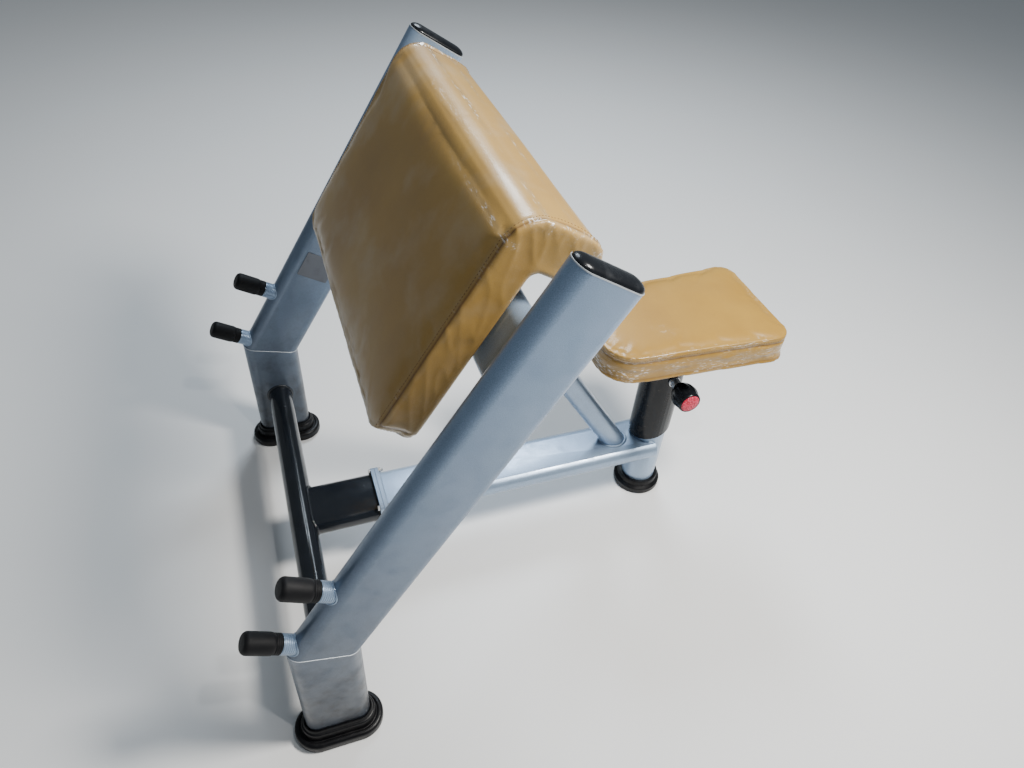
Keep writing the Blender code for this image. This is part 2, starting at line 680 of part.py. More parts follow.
def seat():
    bottom = SEAT_PLATE_Z + SEAT_PLATE_THICKNESS + GAP
    board = slab("seat_board", [seat_outline(BOARD_INSET)], SEAT_BOARD_THICKNESS, "plywood", at(0, 0, bottom))
    recess_depth = SEAT_BOARD_THICKNESS + 0.01 + GAP
    recess = slab("seat_recess", [seat_outline(BOARD_INSET - GAP)], recess_depth, None,
                  at(0, 0, bottom - 0.01))
    cushion = slab("seat_cushion", [seat_outline(0)], SEAT_TOP - bottom, "tan_leather", at(0, 0, bottom))
    bevel(cushion, 0.006, 2)
    boolean(cushion, recess)

    half_length, half_width = 0.090, 0.065
    corners = [(half_length * i, half_width * j, 0.012) for i, j in ((1, 1), (-1, 1), (-1, -1), (1, -1))]
    plate = slab("seat_plate", [rounded(corners, 4)], SEAT_PLATE_THICKNESS, "black_paint",
                 post_at(SEAT_PLATE_Z))
    for number, (i, j) in enumerate(((1, 1), (-1, 1), (-1, -1), (1, -1)), start=1):
        axis = post_at(SEAT_PLATE_Z) @ at(0.075 * i, 0.050 * j, 0)
        name = f"seat_screw_{number}"
        hole = rod(name + "_hole", SCREW_RADIUS + GAP, 0.024, None, axis @ at(0, 0, -0.008), 16)
        boolean(plate, hole)
        boolean(board, hole)
        screw(name, axis @ at(0, 0, -GAP), 0.0140)


def build_seat():
    seat_tube()
    seat()
    screws = [f"seat_screw_{number}" for number in range(1, 5)]
    ride(joint_origin("seat_height_joint", post_at(POST_TOP)),
         ["seat_tube", "seat_tube_glide", "seat_plate", "seat_board", "seat_cushion"] + screws)


build_side_frames()
build_base()
cross_beam()
brace_tube()
arm_pad()
pad_brackets()
seat_post()
pin_housing()
pull_pin()
build_seat()
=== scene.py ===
# %% [markdown]
# # A preacher-curl bench
#
# The bench has two bent side frames of flat-oval tube, a wide sloping arm pad, and a
# small seat on a telescoping post.  Its engineering model is already finished: every
# tube, bolt and sliding part is in place.  This notebook gives it its surfaces: weld
# beads, stitched and stuffed upholstery, moulded caps, and a material for each finish.

# %% Load the engineering model
import json
import math

import bmesh
import bpy
import numpy as np
from mathutils import Matrix, Vector, noise
from mathutils.bvhtree import BVHTree
from mathutils.kdtree import KDTree


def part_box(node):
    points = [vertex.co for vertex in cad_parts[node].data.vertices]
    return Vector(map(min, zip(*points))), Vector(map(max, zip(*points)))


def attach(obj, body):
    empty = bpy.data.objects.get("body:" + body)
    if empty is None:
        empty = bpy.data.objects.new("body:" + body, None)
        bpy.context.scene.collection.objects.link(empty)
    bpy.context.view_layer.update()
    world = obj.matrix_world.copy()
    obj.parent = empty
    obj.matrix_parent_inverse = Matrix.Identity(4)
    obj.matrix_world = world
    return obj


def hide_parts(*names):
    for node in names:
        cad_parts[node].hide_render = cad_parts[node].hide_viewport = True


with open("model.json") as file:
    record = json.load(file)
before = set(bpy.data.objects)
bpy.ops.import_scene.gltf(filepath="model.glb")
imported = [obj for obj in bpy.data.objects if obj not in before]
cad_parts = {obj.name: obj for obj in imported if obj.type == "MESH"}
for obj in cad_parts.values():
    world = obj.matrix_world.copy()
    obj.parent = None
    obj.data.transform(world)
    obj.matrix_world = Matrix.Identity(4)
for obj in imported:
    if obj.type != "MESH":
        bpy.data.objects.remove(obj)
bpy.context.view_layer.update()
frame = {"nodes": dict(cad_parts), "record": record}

BODIES = frame["record"]["behaviour"]["bodies"]
BODY_OF = {node: body for body, nodes in BODIES.items() for node in nodes}
SLOT_OF = {part["node"]: part["material_slot"] for part in frame["record"]["subparts"]}

# %% [markdown]
# Four small helpers do what nearly every later step needs.

# %% Helpers for objects and meshes
def placed(name, data):
    """A new object with this data, linked into the scene."""
    item = bpy.data.objects.new(name, data)
    bpy.context.scene.collection.objects.link(item)
    return item


def mesh_from(name, bm):
    mesh = bpy.data.meshes.new(name)
    bm.to_mesh(mesh)
    bm.free()
    return mesh


def tree_from(bm):
    """A search tree of a bmesh that isn't needed again."""
    tree = BVHTree.FromBMesh(bm)
    bm.free()
    return tree


def baked(source):
    """The object's mesh with its modifiers applied; the object is removed."""
    graph = bpy.context.evaluated_depsgraph_get()
    mesh = bpy.data.meshes.new_from_object(source.evaluated_get(graph))
    bpy.data.objects.remove(source, do_unlink=True)
    return mesh


# %% [markdown]
# ## Where things are
#
# The whole bench hangs on a few lines: the upright legs, the incline that starts where
# they bend, and the seat post.  The legs and the post are read from the model, and the
# slope of the incline is one angle.  A matrix for the incline lets us think in two easy
# directions: along the slope, and straight out of it.

# %% Landmarks and the incline's own directions
SLOPE = math.radians(58.7)
BEND_Z = 0.283
OVAL_WIDTH = 0.115
OVAL_THICKNESS = 0.043
OVAL_REACH = (OVAL_WIDTH - OVAL_THICKNESS) / 2
OVAL_RADIUS = OVAL_THICKNESS / 2


def middle(node):
    low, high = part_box(node)
    return (low + high) / 2


FOOT = middle("front_boot_right")
POST = middle("rear_foot")
SIDES = {"left": -1, "right": 1}
INNER_FACE = FOOT.y - OVAL_RADIUS
TUBE_END = 0.760
UP_SLOPE = Vector((math.cos(SLOPE), 0, math.sin(SLOPE)))
OUT_FRONT = Vector((-UP_SLOPE.z, 0, UP_SLOPE.x))
WIDTHWAYS = Vector((0, 1, 0))


def axes(x, y, z, origin):
    """A placement matrix from three directions and an origin."""
    matrix = Matrix((x, y, z)).transposed().to_4x4()
    matrix.translation = origin
    return matrix


INCLINE = axes(UP_SLOPE, WIDTHWAYS, OUT_FRONT, Vector((FOOT.x, 0, BEND_Z)))
LENGTHWAYS = axes(WIDTHWAYS, Vector((0, 0, 1)), Vector((1, 0, 0)), Vector((0, 0, 0)))
TOWARDS_LEFT = Matrix.Rotation(math.radians(90), 4, "X")


def at(x, y, z):
    return Matrix.Translation((x, y, z))


def reach_in(node, place):
    """The lowest and highest corners of a node, measured in another set of axes."""
    inverse = place.inverted()
    points = [inverse @ vert.co for vert in frame["nodes"][node].data.vertices]
    low = Vector([min(point[i] for point in points) for i in range(3)])
    high = Vector([max(point[i] for point in points) for i in range(3)])
    return low, high


print("front legs at", tuple(round(v, 4) for v in FOOT), "seat post at", round(POST.x, 4))

# %% [markdown]
# ## Camera
#
# The bench is seen from above and in front of its left bar rests, with the camera a
# little rolled, as when it is held by hand.  The camera is turned by hand-made axes:
# forward from a heading and a dip, then a roll about that line of sight.

# %% Camera
HEADING = math.radians(22.288)
DIP = math.radians(42.852)
ROLL = math.radians(4.747)
EYE = Vector((FOOT.x + 0.0226, -1.0263, 1.4292))

level = Vector((math.cos(HEADING), -math.sin(HEADING), 0))
ahead = Vector((math.sin(HEADING), math.cos(HEADING), 0))
forward = ahead * math.cos(DIP) - Vector((0, 0, math.sin(DIP)))
lens_up = level.cross(forward)
rolled_right = level * math.cos(ROLL) + lens_up * math.sin(ROLL)
rolled_up = lens_up * math.cos(ROLL) - level * math.sin(ROLL)

camera_data = bpy.data.cameras.new("camera")
camera_data.sensor_width = 36.0
camera_data.lens = 26.67
camera = placed("camera", camera_data)
camera.matrix_world = axes(rolled_right, rolled_up, -forward, EYE)
bpy.context.scene.camera = camera

# %% [markdown]
# ## Light and floor
#
# One soft lamp stands high over the seat's left side.  The seat, the pad's nose and the
# top of the near frame catch it, and the face of the arm pad stays in shade.  It is close
# enough to fall off down the near frame.  A broad cool lamp behind shines off the tops of
# the tubes, a small one adds the glints that clear film throws back, and a dim dome fills
# the shadows.

# %% Lamps, sky and floor
def soft_lamp(name, place, target, power, size, colour):
    data = bpy.data.lights.new(name, "AREA")
    data.shape = "DISK"
    data.size = size
    data.energy = power
    data.color = colour
    lamp = placed(name, data)
    lamp.location = place
    lamp.rotation_euler = (Vector(target) - Vector(place)).to_track_quat("-Z", "Y").to_euler()


soft_lamp("key", (0.85, -0.66, 2.00), (0.0, -0.1, 0.50), 60, 0.42, (1.0, 0.97, 0.92))
soft_lamp("glint", (0.25, -1.20, 2.60), (0.0, 0.0, 0.60), 8, 0.08, (1.0, 1.0, 1.0))
soft_lamp("back", (0.66, 1.85, 2.55), (0.2, 0.1, 0.20), 52, 0.95, (0.80, 0.90, 1.0))

sky = bpy.data.worlds.new("sky")
sky.use_nodes = True
dome = sky.node_tree.nodes["Background"]
dome.inputs["Color"].default_value = (0.80, 0.90, 1.0, 1.0)
dome.inputs["Strength"].default_value = 0.17
bpy.context.scene.world = sky

floor_bm = bmesh.new()
bmesh.ops.create_grid(floor_bm, x_segments=1, y_segments=1, size=9.0)
floor = placed("floor", mesh_from("floor", floor_bm))

# %% [markdown]
# ## Writing materials as sums
#
# A finish is mostly arithmetic: so much grain, plus some cloud, faded by a mask.  The
# `Wire` class wraps a node's output so that `grain * 0.3 + cloud` adds the Math nodes
# by itself.  `Finish` owns one material, and its `add` method makes any other node.

# %% Wires and finishes
class Wire:
    """A node's output that can be used like a number."""

    def __init__(self, finish, socket):
        self.finish = finish
        self.socket = socket

    def __add__(self, other):
        return self.finish.maths("ADD", self, other)

    def __sub__(self, other):
        return self.finish.maths("SUBTRACT", self, other)

    def __rsub__(self, other):
        return self.finish.maths("SUBTRACT", other, self)

    def __mul__(self, other):
        return self.finish.maths("MULTIPLY", self, other)

    __radd__ = __add__
    __rmul__ = __mul__


class Finish:
    """One material, with its shader's steady values set when it is made."""

    def __init__(self, name, colour, **steady):
        self.material = bpy.data.materials.new(name)
        self.material.use_nodes = True
        self.tree = self.material.node_tree
        self.shader = self.tree.nodes["Principled BSDF"]
        self.shader.inputs["Base Color"].default_value = (*colour, 1.0)
        self.material.diffuse_color = (*colour, 1.0)
        for socket, value in steady.items():
            self.shader.inputs[socket.replace("_", " ")].default_value = value
        self.place = self.add("ShaderNodeTexCoord", output="Object")

    def connect(self, socket, value):
        if isinstance(value, Wire):
            self.tree.links.new(value.socket, socket)
        else:
            socket.default_value = value

    def add(self, kind, settings=None, sockets=None, output=0):
        node = self.tree.nodes.new(kind)
        for name, value in (settings or {}).items():
            setattr(node, name, value)
        for name, value in (sockets or {}).items():
            self.connect(node.inputs[name], value)
        return Wire(self, node.outputs[output])

    def maths(self, operation, a, b):
        return self.add("ShaderNodeMath", {"operation": operation}, {0: a, 1: b})

    def stretched(self, scale):
        """Object coordinates, scaled differently along each axis."""
        return self.add("ShaderNodeMapping", {}, {"Vector": self.place, "Scale": scale})

    def cloud(self, scale, detail=3.0, place=None, roughness=0.55):
        """Soft noise between 0 and 1."""
        sockets = {"Vector": place or self.place, "Scale": scale}
        sockets.update({"Detail": detail, "Roughness": roughness})
        return self.add("ShaderNodeTexNoise", {}, sockets)

    def cells(self, scale, place=None):
        """The distance to the middle of the nearest of many cells."""
        return self.add("ShaderNodeTexVoronoi", {}, {"Vector": place or self.place, "Scale": scale})

    def between(self, value, low, high):
        """0 below low, 1 above high, and an even climb between."""
        climb = self.add("ShaderNodeValToRGB", {}, {"Fac": value})
        black, white = climb.socket.node.color_ramp.elements
        black.position = low
        white.position = high
        return climb

    def mix(self, factor, first, second):
        first = first if isinstance(first, Wire) else (*first, 1.0)
        second = second if isinstance(second, Wire) else (*second, 1.0)
        sockets = {0: factor, 6: first, 7: second}
        return self.add("ShaderNodeMix", {"data_type": "RGBA"}, sockets, output=2)

    def bump(self, height, distance, strength=1.0, under=None):
        sockets = {"Height": height, "Distance": distance, "Strength": strength}
        if under is not None:
            sockets["Normal"] = under
        return self.add("ShaderNodeBump", {}, sockets)

    def paint(self, **varying):
        for name, wire in varying.items():
            self.connect(self.shader.inputs[name.replace("_", " ")], wire)
        return self.material


# %% [markdown]
# The simplest finish is two tones mixed by a cloud.  The floor, a plain pale board, wears
# it, and so do the nylon bush and the seams' thread further on.

# %% Two-tone finishes
def two_tone(name, middle, dark, light, roughness, scale, detail=3.0):
    finish = Finish(name, middle, Roughness=roughness)
    return finish.paint(Base_Color=finish.mix(finish.cloud(scale, detail), dark, light))


PALE = (0.95, 0.95, 0.94), (0.93, 0.93, 0.92), (0.97, 0.97, 0.96)
WHITISH = (0.68, 0.67, 0.62), (0.62, 0.61, 0.56), (0.72, 0.71, 0.66)
BROWN = (0.15, 0.075, 0.022), (0.10, 0.048, 0.014), (0.20, 0.105, 0.034)

floor.data.materials.append(two_tone("pale_floor", *PALE, 0.85, 1.5))

# %% [markdown]
# ## Paint on steel
#
# The tubes wear a silver-grey metallic enamel.  Up close such paint is never one
# colour: flakes glint, the surface has a faint orange peel, and hands and dust dull it
# in patches.  The side frames wear a darker copy of the silver and darken further
# towards the floor: this is painted shade, with a few dirty smears mixed in.
# The black parts have the same surface without the flake.

# %% Enamel finishes
def enamel(name, dark, light, metallic, roughness, flake, floor_shade=0.0):
    finish = Finish(name, light, Coat_Roughness=0.12, Specular_IOR_Level=0.5)
    patches = finish.cloud(9.0, 4.0)
    speckle = finish.between(finish.cloud(900.0, 2.0), 0.35, 0.65)
    colour = finish.mix(finish.between(patches, 0.3, 0.7), dark, light)
    glint = finish.mix(speckle * flake, colour, tuple(min(1.0, v * 1.7) for v in light))
    if floor_shade:
        # Painted shade: the colour darkens towards the floor, with a few dirty smears mixed in.
        height = finish.add("ShaderNodeSeparateXYZ", {}, {"Vector": finish.place}, output="Z")
        low = 1 - finish.between(height, 0.12, 0.86)
        smears = finish.between(finish.cloud(22.0, 6.0, roughness=0.7), 0.45, 0.75)
        shade_and_smears = low * floor_shade + low * (smears * 0.18)
        glint = finish.mix(shade_and_smears, glint, (0.042, 0.045, 0.051))
    peel = finish.bump(finish.cloud(260.0, 2.0), 0.0002, 0.25)
    wear = finish.between(finish.cloud(38.0, 5.0), 0.42, 0.72)
    return finish.paint(
        Base_Color=glint,
        Metallic=speckle * 0.2 * flake + metallic,
        Roughness=wear * 0.12 + roughness,
        Coat_Weight=0.35 - wear * 0.25,
        Normal=peel,
    )


SILVER = enamel("silver_enamel", (0.25, 0.335, 0.455), (0.29, 0.38, 0.505), 0.40, 0.30, 0.5)
# The side frames' silver is a darker copy of the same paint: painted shade.
SHADED_FRAME_TONES = (0.200, 0.285, 0.410), (0.235, 0.325, 0.460)
SHADED_FRAME_SILVER = enamel("shaded_frame_silver_enamel", *SHADED_FRAME_TONES, 0.35, 0.33, 0.5, floor_shade=0.88)
# A lighter silver for the tube edges and the mitre beads: painted highlight lines.
HIGHLIGHT_SILVER = enamel("painted_highlight_silver", (0.42, 0.47, 0.53), (0.54, 0.58, 0.63), 0.55, 0.36, 0.4)
BLACK = enamel("black_enamel", (0.006, 0.008, 0.011), (0.011, 0.014, 0.02), 0.05, 0.16, 0.08)

# %% [markdown]
# ## Plastics, rubber and bright metal
#
# Moulded black plastic is glossy with fine sink marks; rubber is duller and holds dust;
# chrome and zinc plate are metals with a little brushing; the ply is stained black.

# %% Moulded and plated finishes
def moulded(name, dark, light, roughness, dust):
    finish = Finish(name, dark, Specular_IOR_Level=0.28)
    grime = finish.between(finish.cloud(30.0, 6.0, roughness=0.7), 0.50, 0.78)
    colour = finish.mix(grime * dust, dark, light)
    skin = finish.bump(finish.cloud(420.0, 2.0), 0.00015, 0.3)
    return finish.paint(Base_Color=colour, Roughness=grime * 0.22 + roughness, Normal=skin)


GLOSS_BLACK = moulded("gloss_black_plastic", (0.006, 0.007, 0.009), (0.03, 0.034, 0.04), 0.23, 0.35)
SLEEVE_BLACK = moulded("sleeve_black_plastic", (0.01, 0.012, 0.016), (0.042, 0.034, 0.026), 0.20, 0.8)


def rubber(name, pitch, gloss):
    finish = Finish(name, (0.004, 0.004, 0.005), Specular_IOR_Level=0.25)
    dust = finish.between(finish.cloud(45.0, 6.0, roughness=0.75), 0.48, 0.80)
    colour = finish.mix(dust * 0.35, (0.004, 0.004, 0.005), (0.024, 0.024, 0.025))
    pores = finish.bump(finish.cells(pitch), 0.0004, 0.35)
    return finish.paint(Base_Color=colour, Roughness=dust * 0.2 + gloss, Normal=pores)


BOOT_RUBBER = rubber("boot_rubber", 620.0, 0.34)
GRIP_RUBBER = rubber("grip_rubber", 1100.0, 0.56)


def plated(name, colour, roughness, brushing):
    finish = Finish(name, colour, Metallic=1.0)
    strokes = finish.cloud(40.0, 4.0, finish.stretched((1.0, 1.0, 22.0)))
    stain = finish.between(finish.cloud(70.0, 5.0), 0.55, 0.8)
    tone = finish.mix(stain * 0.5, colour, tuple(v * 0.72 for v in colour))
    lines = finish.bump(strokes, 0.0001, brushing)
    amount = strokes * 0.12 + stain * 0.1 + roughness
    return finish.paint(Base_Color=tone, Roughness=amount, Normal=lines)


CHROME = plated("chrome_plate", (0.72, 0.73, 0.75), 0.05, 0.05)
ZINC = plated("zinc_plate", (0.52, 0.53, 0.54), 0.26, 0.35)
ALUMINIUM = plated("blank_aluminium", (0.17, 0.18, 0.20), 0.42, 0.5)


def black_board():
    finish = Finish("black_stained_board", (0.02, 0.02, 0.02), Roughness=0.75)
    grain = finish.cloud(30.0, 5.0, finish.stretched((1.0, 0.06, 1.0)))
    colour = finish.mix(grain, (0.012, 0.012, 0.013), (0.045, 0.042, 0.038))
    return finish.paint(Base_Color=colour, Normal=finish.bump(grain, 0.0004, 0.5))


def pebbled_red():
    finish = Finish("pebbled_red_plastic", (0.80, 0.03, 0.10), Specular_IOR_Level=0.5)
    pebbles = finish.cells(300.0)
    valley_shade = finish.between(pebbles, 0.15, 0.65)
    # Painted shade: the red is darker in the valleys between the pebbles.
    colour = finish.mix(valley_shade, (1.0, 0.085, 0.19), (0.55, 0.008, 0.035))
    relief = finish.bump(1 - pebbles, 0.0016)
    return finish.paint(Base_Color=colour, Roughness=0.2 + pebbles * 0.3, Normal=relief)


RED = pebbled_red()

FINISH_FOR = {
    "silver_paint": SILVER,
    "black_paint": BLACK,
    "black_plastic": GLOSS_BLACK,
    "rubber": BOOT_RUBBER,
    "chrome": CHROME,
    "zinc": ZINC,
    "nylon": two_tone("white_nylon", *WHITISH, 0.5, 60.0),
    "plywood": black_board(),
    "red_plastic": RED,
    "aluminium": ALUMINIUM,
}

# %% [markdown]
# ## From engineering facets to smooth steel
#
# The engineering model is honest but faceted, and its edges are razor sharp.  Each hard
# piece gets a fair copy: its loose triangles are merged, flat regions are cleaned of
# stray edges, curved walls are shaded smooth, and every real edge gets a hair of
# rounding so that it catches light as painted steel does.

# %% Make and place pieces
PIECES = []
EDGE_ROUNDING = 0.0006


def show(name, mesh, finish, body="frame", sharp=35):
    """Link a finished mesh as a named piece of one body."""
    mesh.shade_smooth()
    mesh.set_sharp_from_angle(angle=math.radians(sharp))
    mesh.materials.clear()
    mesh.materials.append(finish)
    piece = placed(name, mesh)
    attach(piece, body)
    PIECES.append(piece)
    return piece


def show_bm(name, bm, finish, body="frame", sharp=35):
    bmesh.ops.recalc_face_normals(bm, faces=bm.faces)
    return show(name, mesh_from(name, bm), finish, body, sharp)


def merged_copy(node):
    """A node's mesh with its loose triangles joined."""
    bm = bmesh.new()
    bm.from_mesh(frame["nodes"][node].data)
    bmesh.ops.remove_doubles(bm, verts=bm.verts, dist=1e-5)
    return bm


def remade(node, ending, bm, finish, sharp):
    """Show a new shape in the place of a node, in the node's body, and hide the node."""
    piece = show_bm(f"{node}_{ending}", bm, finish, BODY_OF[node], sharp)
    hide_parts(node)


def fair_copy(node, finish):
    bm = merged_copy(node)
    bmesh.ops.dissolve_limit(bm, angle_limit=math.radians(0.6), verts=bm.verts, edges=bm.edges)
    name = node + "_faired"
    piece = show(name, mesh_from(name, bm), finish, BODY_OF[node])
    rounding = piece.modifiers.new("rounding", "BEVEL")
    rounding.width = EDGE_ROUNDING
    rounding.segments = 2
    rounding.limit_method = "ANGLE"
    rounding.angle_limit = math.radians(50)
    rounding.harden_normals = True
    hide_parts(node)


PEG_ROWS = {"lower": 0.004, "upper": 0.139}
REMADE = {"arm_pad_cushion", "seat_cushion", "pull_knob", "knob_cap"}
OWN_FINISH = {"post_sleeve": SLEEVE_BLACK}
for side in SIDES:
    OWN_FINISH["side_frame_" + side] = SHADED_FRAME_SILVER
    REMADE |= {"end_cap_" + side, "front_boot_" + side}
    REMADE |= {f"peg_{part}_{side}_{row}" for part in ("grip", "collar") for row in PEG_ROWS}

for node in sorted(BODY_OF):
    if node not in REMADE:
        fair_copy(node, OWN_FINISH.get(node, FINISH_FOR[SLOT_OF[node]]))
print(len(PIECES), "fair copies")

# %% [markdown]
# ## Shapes from an oval
#
# Caps, boots and rims all follow the flat-oval tube.  One helper makes them: it starts
# with a ring of edges in the tube's section and extrudes it again and again, each time
# grown or shrunk a little and raised, as a potter raises a wall.

# %% Oval walls
def oval_wall(bm, profile, place, segments=64, closed=True):
    """Extrude a flat-oval ring through (grow, height) steps; closed joins last to first."""
    circle = bmesh.ops.create_circle(bm, cap_ends=False, segments=segments, radius=OVAL_RADIUS)
    ring = circle["verts"]
    half_step = Matrix.Rotation(math.pi / segments, 3, "Z")
    bmesh.ops.rotate(bm, verts=ring, cent=(0, 0, 0), matrix=half_step)
    heading = {vert: vert.co.normalized() for vert in ring}
    edges = list({edge for vert in ring for edge in vert.link_edges})
    first = edges
    set_ring(heading, *profile[0])
    for grow, height in profile[1:]:
        new = bmesh.ops.extrude_edge_only(bm, edges=edges)["geom"]
        edges = [item for item in new if isinstance(item, bmesh.types.BMEdge)]
        verts = [item for item in new if isinstance(item, bmesh.types.BMVert)]
        heading = {vert: heading_from_core(vert) for vert in verts}
        set_ring(heading, grow, height)
    if closed:
        bmesh.ops.bridge_loops(bm, edges=first + edges)
    bmesh.ops.transform(bm, matrix=place, verts=bm.verts)
    return edges


def heading_from_core(vert):
    """The way from the centre of its own round end to a point on the wall."""
    core = Vector((math.copysign(OVAL_REACH, vert.co.x), 0))
    return (vert.co.xy - core).normalized()


def close_holes(bm):
    bmesh.ops.holes_fill(bm, edges=[edge for edge in bm.edges if edge.is_boundary])


def set_ring(heading, grow, height):
    for vert, way in heading.items():
        radius = OVAL_RADIUS + grow
        core = math.copysign(OVAL_REACH, way.x)
        vert.co = Vector((core + way.x * radius, way.y * radius, height))


def quarter(start, end, steps=6, bulge_first=True):
    """Points on a quarter ellipse from start to end; bulge_first leaves start upwards."""
    points = []
    for step in range(steps + 1):
        angle = math.pi / 2 * step / steps
        across, up = 1 - math.cos(angle), math.sin(angle)
        if not bulge_first:
            across, up = up, across
        run, rise = end[0] - start[0], end[1] - start[1]
        points.append((start[0] + run * across, start[1] + rise * up))
    return points


# %% [markdown]
# ### End caps
#
# A glossy black plug closes the top of each side frame.  Its rim sits on the tube wall
# with a fine line of tube edge around it, painted a lighter silver as a highlight, and
# its top is a low dome.

# %% End caps and the bright tube edge
def tube_top(sign):
    return axes(OUT_FRONT, -WIDTHWAYS, UP_SLOPE, INCLINE @ Vector((TUBE_END, sign * FOOT.y, 0)))


def end_cap(side, sign):
    bm = bmesh.new()
    plug = [(-0.0045, -0.020), (-0.0033, -0.018), (-0.0033, 0.0003), (-0.0012, 0.0003)]
    dome = quarter((-0.0010, 0.0008), (-0.0208, 0.0096), 18)
    edges = oval_wall(bm, plug + dome, tube_top(sign), segments=96, closed=False)
    bmesh.ops.holes_fill(bm, edges=edges)
    close_holes(bm)
    remade("end_cap_" + side, "domed", bm, GLOSS_BLACK, sharp=60)


def tube_edge(side, sign):
    bm = bmesh.new()
    outside = [(0.0002, -0.0012), (0.0004, -0.0004), (0.0002, 0.0003)]
    inside = [(-0.0008, 0.0004), (-0.0014, -0.0002)]
    oval_wall(bm, outside + inside, tube_top(sign))
    show_bm(f"tube_edge_{side}", bm, HIGHLIGHT_SILVER)


for side, sign in SIDES.items():
    end_cap(side, sign)
    tube_edge(side, sign)

# %% [markdown]
# ### Rubber boots
#
# Each front leg stands in a moulded rubber boot: a thick round-edged sole, a shoulder, a
# groove, and an upright collar that grips the tube.  The round edges are quarter ellipses.

# %% Boots
def boot(side, sign):
    bm = bmesh.new()
    sole = [(0.0180, 0.0)] + quarter((0.0205, 0.0008), (0.0225, 0.0045), 4, False)
    shoulder = quarter((0.0225, 0.0155), (0.0150, 0.0215), 6)
    groove = quarter((0.0142, 0.0215), (0.0118, 0.0200), 3)
    groove += quarter((0.0104, 0.0200), (0.0096, 0.0230), 3, False)
    collar = [(0.0090, 0.0340)] + quarter((0.0088, 0.0350), (0.0058, 0.0385), 5)
    lip = [(0.0052, 0.0390), (0.0044, 0.0440), (0.0036, 0.0450), (0.0012, 0.0450)]
    inside = [(0.0004, 0.0442), (0.0003, 0.0066)]
    profile = sole + shoulder + groove + collar + lip + inside
    oval_wall(bm, profile, at(FOOT.x, sign * FOOT.y, 0), closed=False)
    close_holes(bm)
    remade("front_boot_" + side, "moulded", bm, BOOT_RUBBER, sharp=50)


for side, sign in SIDES.items():
    boot(side, sign)

# %% [markdown]
# ## Turned pieces
#
# The bar rests and the pull knob are round.  A profile of radius and height is spun
# about its axis with `bmesh.ops.spin`, which is how a lathe thinks.

# %% Spin a profile
def turned(profile, place, steps=48):
    bm = bmesh.new()
    verts = [bm.verts.new((radius, 0, height)) for radius, height in profile]
    edges = [bm.edges.new(pair) for pair in zip(verts, verts[1:])]
    whole = {"angle": 2 * math.pi, "steps": steps, "use_merge": True, "use_duplicate": False}
    bmesh.ops.spin(bm, geom=verts + edges, axis=(0, 0, 1), cent=(0, 0, 0), **whole)
    bmesh.ops.remove_doubles(bm, verts=bm.verts, dist=2e-5)
    close_holes(bm)
    bmesh.ops.transform(bm, matrix=place, verts=bm.verts)
    return bm


# %% [markdown]
# ### Bar rests
#
# Every rest is a steel peg with a ringed silver collar against the frame and a rubber
# grip over its end.  The rings are shallow grooves cut at an even pitch.

# %% Collars and grips
COLLAR_FOOT = 0.0450
COLLAR_TOP = 0.0740
GRIP_TOP = 0.1350
COLLAR_RADIUS = 0.0165
GRIP_RADIUS = 0.0180
PEG_BORE = 0.0114


def rings(radius, start, end, pitch, depth):
    """A wall from start up to end with a groove at every pitch."""
    points = []
    count = round((end - start) / pitch)
    step = (end - start) / count
    for number in range(count):
        low = start + (end - start) * number / count
        points += [(radius - depth, low), (radius, low + step * 0.25), (radius, low + step * 0.8)]
    return points + [(radius - depth, end)]


def collar(name, place):
    foot = [(PEG_BORE, COLLAR_FOOT), (COLLAR_RADIUS, COLLAR_FOOT)]
    wall = rings(COLLAR_RADIUS, COLLAR_FOOT + 0.0020, COLLAR_TOP - 0.0008, 0.0034, 0.0008)
    top = [(COLLAR_RADIUS - 0.001, COLLAR_TOP), (PEG_BORE, COLLAR_TOP)]
    bm = turned(foot + wall + top + foot[:1], place)
    remade("peg_collar_" + name, "ringed", bm, SILVER, sharp=35)


def grip(name, place):
    start = COLLAR_TOP + 0.0004
    waist = GRIP_RADIUS - 0.0012
    neck = [(PEG_BORE, start), (waist - 0.0008, start), (waist, start + 0.0010)]
    ribs = rings(waist, start + 0.0012, start + 0.0110, 0.0032, 0.0005)
    swell = quarter((waist, start + 0.0125), (GRIP_RADIUS, start + 0.0200), 4, False)
    end = quarter((GRIP_RADIUS, GRIP_TOP - 0.0085), (GRIP_RADIUS - 0.0075, GRIP_TOP), 7)
    bm = turned(neck + ribs + swell + end + [(0.0, GRIP_TOP + 0.0004)], place)
    remade("peg_grip_" + name, "ribbed", bm, GRIP_RUBBER, sharp=45)


for side, sign in SIDES.items():
    for row, station in PEG_ROWS.items():
        place = INCLINE @ at(station, sign * FOOT.y, 0)
        collar(f"{side}_{row}", place)
        grip(f"{side}_{row}", place)

# %% [markdown]
# ### The pull knob
#
# The pin that locks the seat has a black knob with shallow flutes for the fingers, and
# a red pebbled button in its end.  The flutes are a ripple on the spun shape.

# %% Knob and button
PIN_Z = (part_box("pin_housing")[0].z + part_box("pin_housing")[1].z) / 2
PIN_AXIS = at(POST.x, 0, PIN_Z) @ TOWARDS_LEFT
KNOB_IN = 0.0680
KNOB_OUT = 0.1170
KNOB_RADIUS = 0.0275
BUTTON_RADIUS = 0.0205
FLUTES = 12


def flute(bm, axis, low, high, depth):
    """Push the wall in between the lobes, most in the middle of low to high."""
    inverse = axis.inverted()
    for vert in bm.verts:
        place = inverse @ vert.co
        along = (place.z - low) / (high - low)
        if 0 < along < 1 and place.xy.length > BUTTON_RADIUS:
            lobe = 0.5 - 0.5 * math.cos(FLUTES * math.atan2(place.y, place.x))
            shrink = 1 - depth * lobe ** 2 * math.sin(math.pi * along) ** 0.7
            vert.co = axis @ Vector((place.x * shrink, place.y * shrink, place.z))


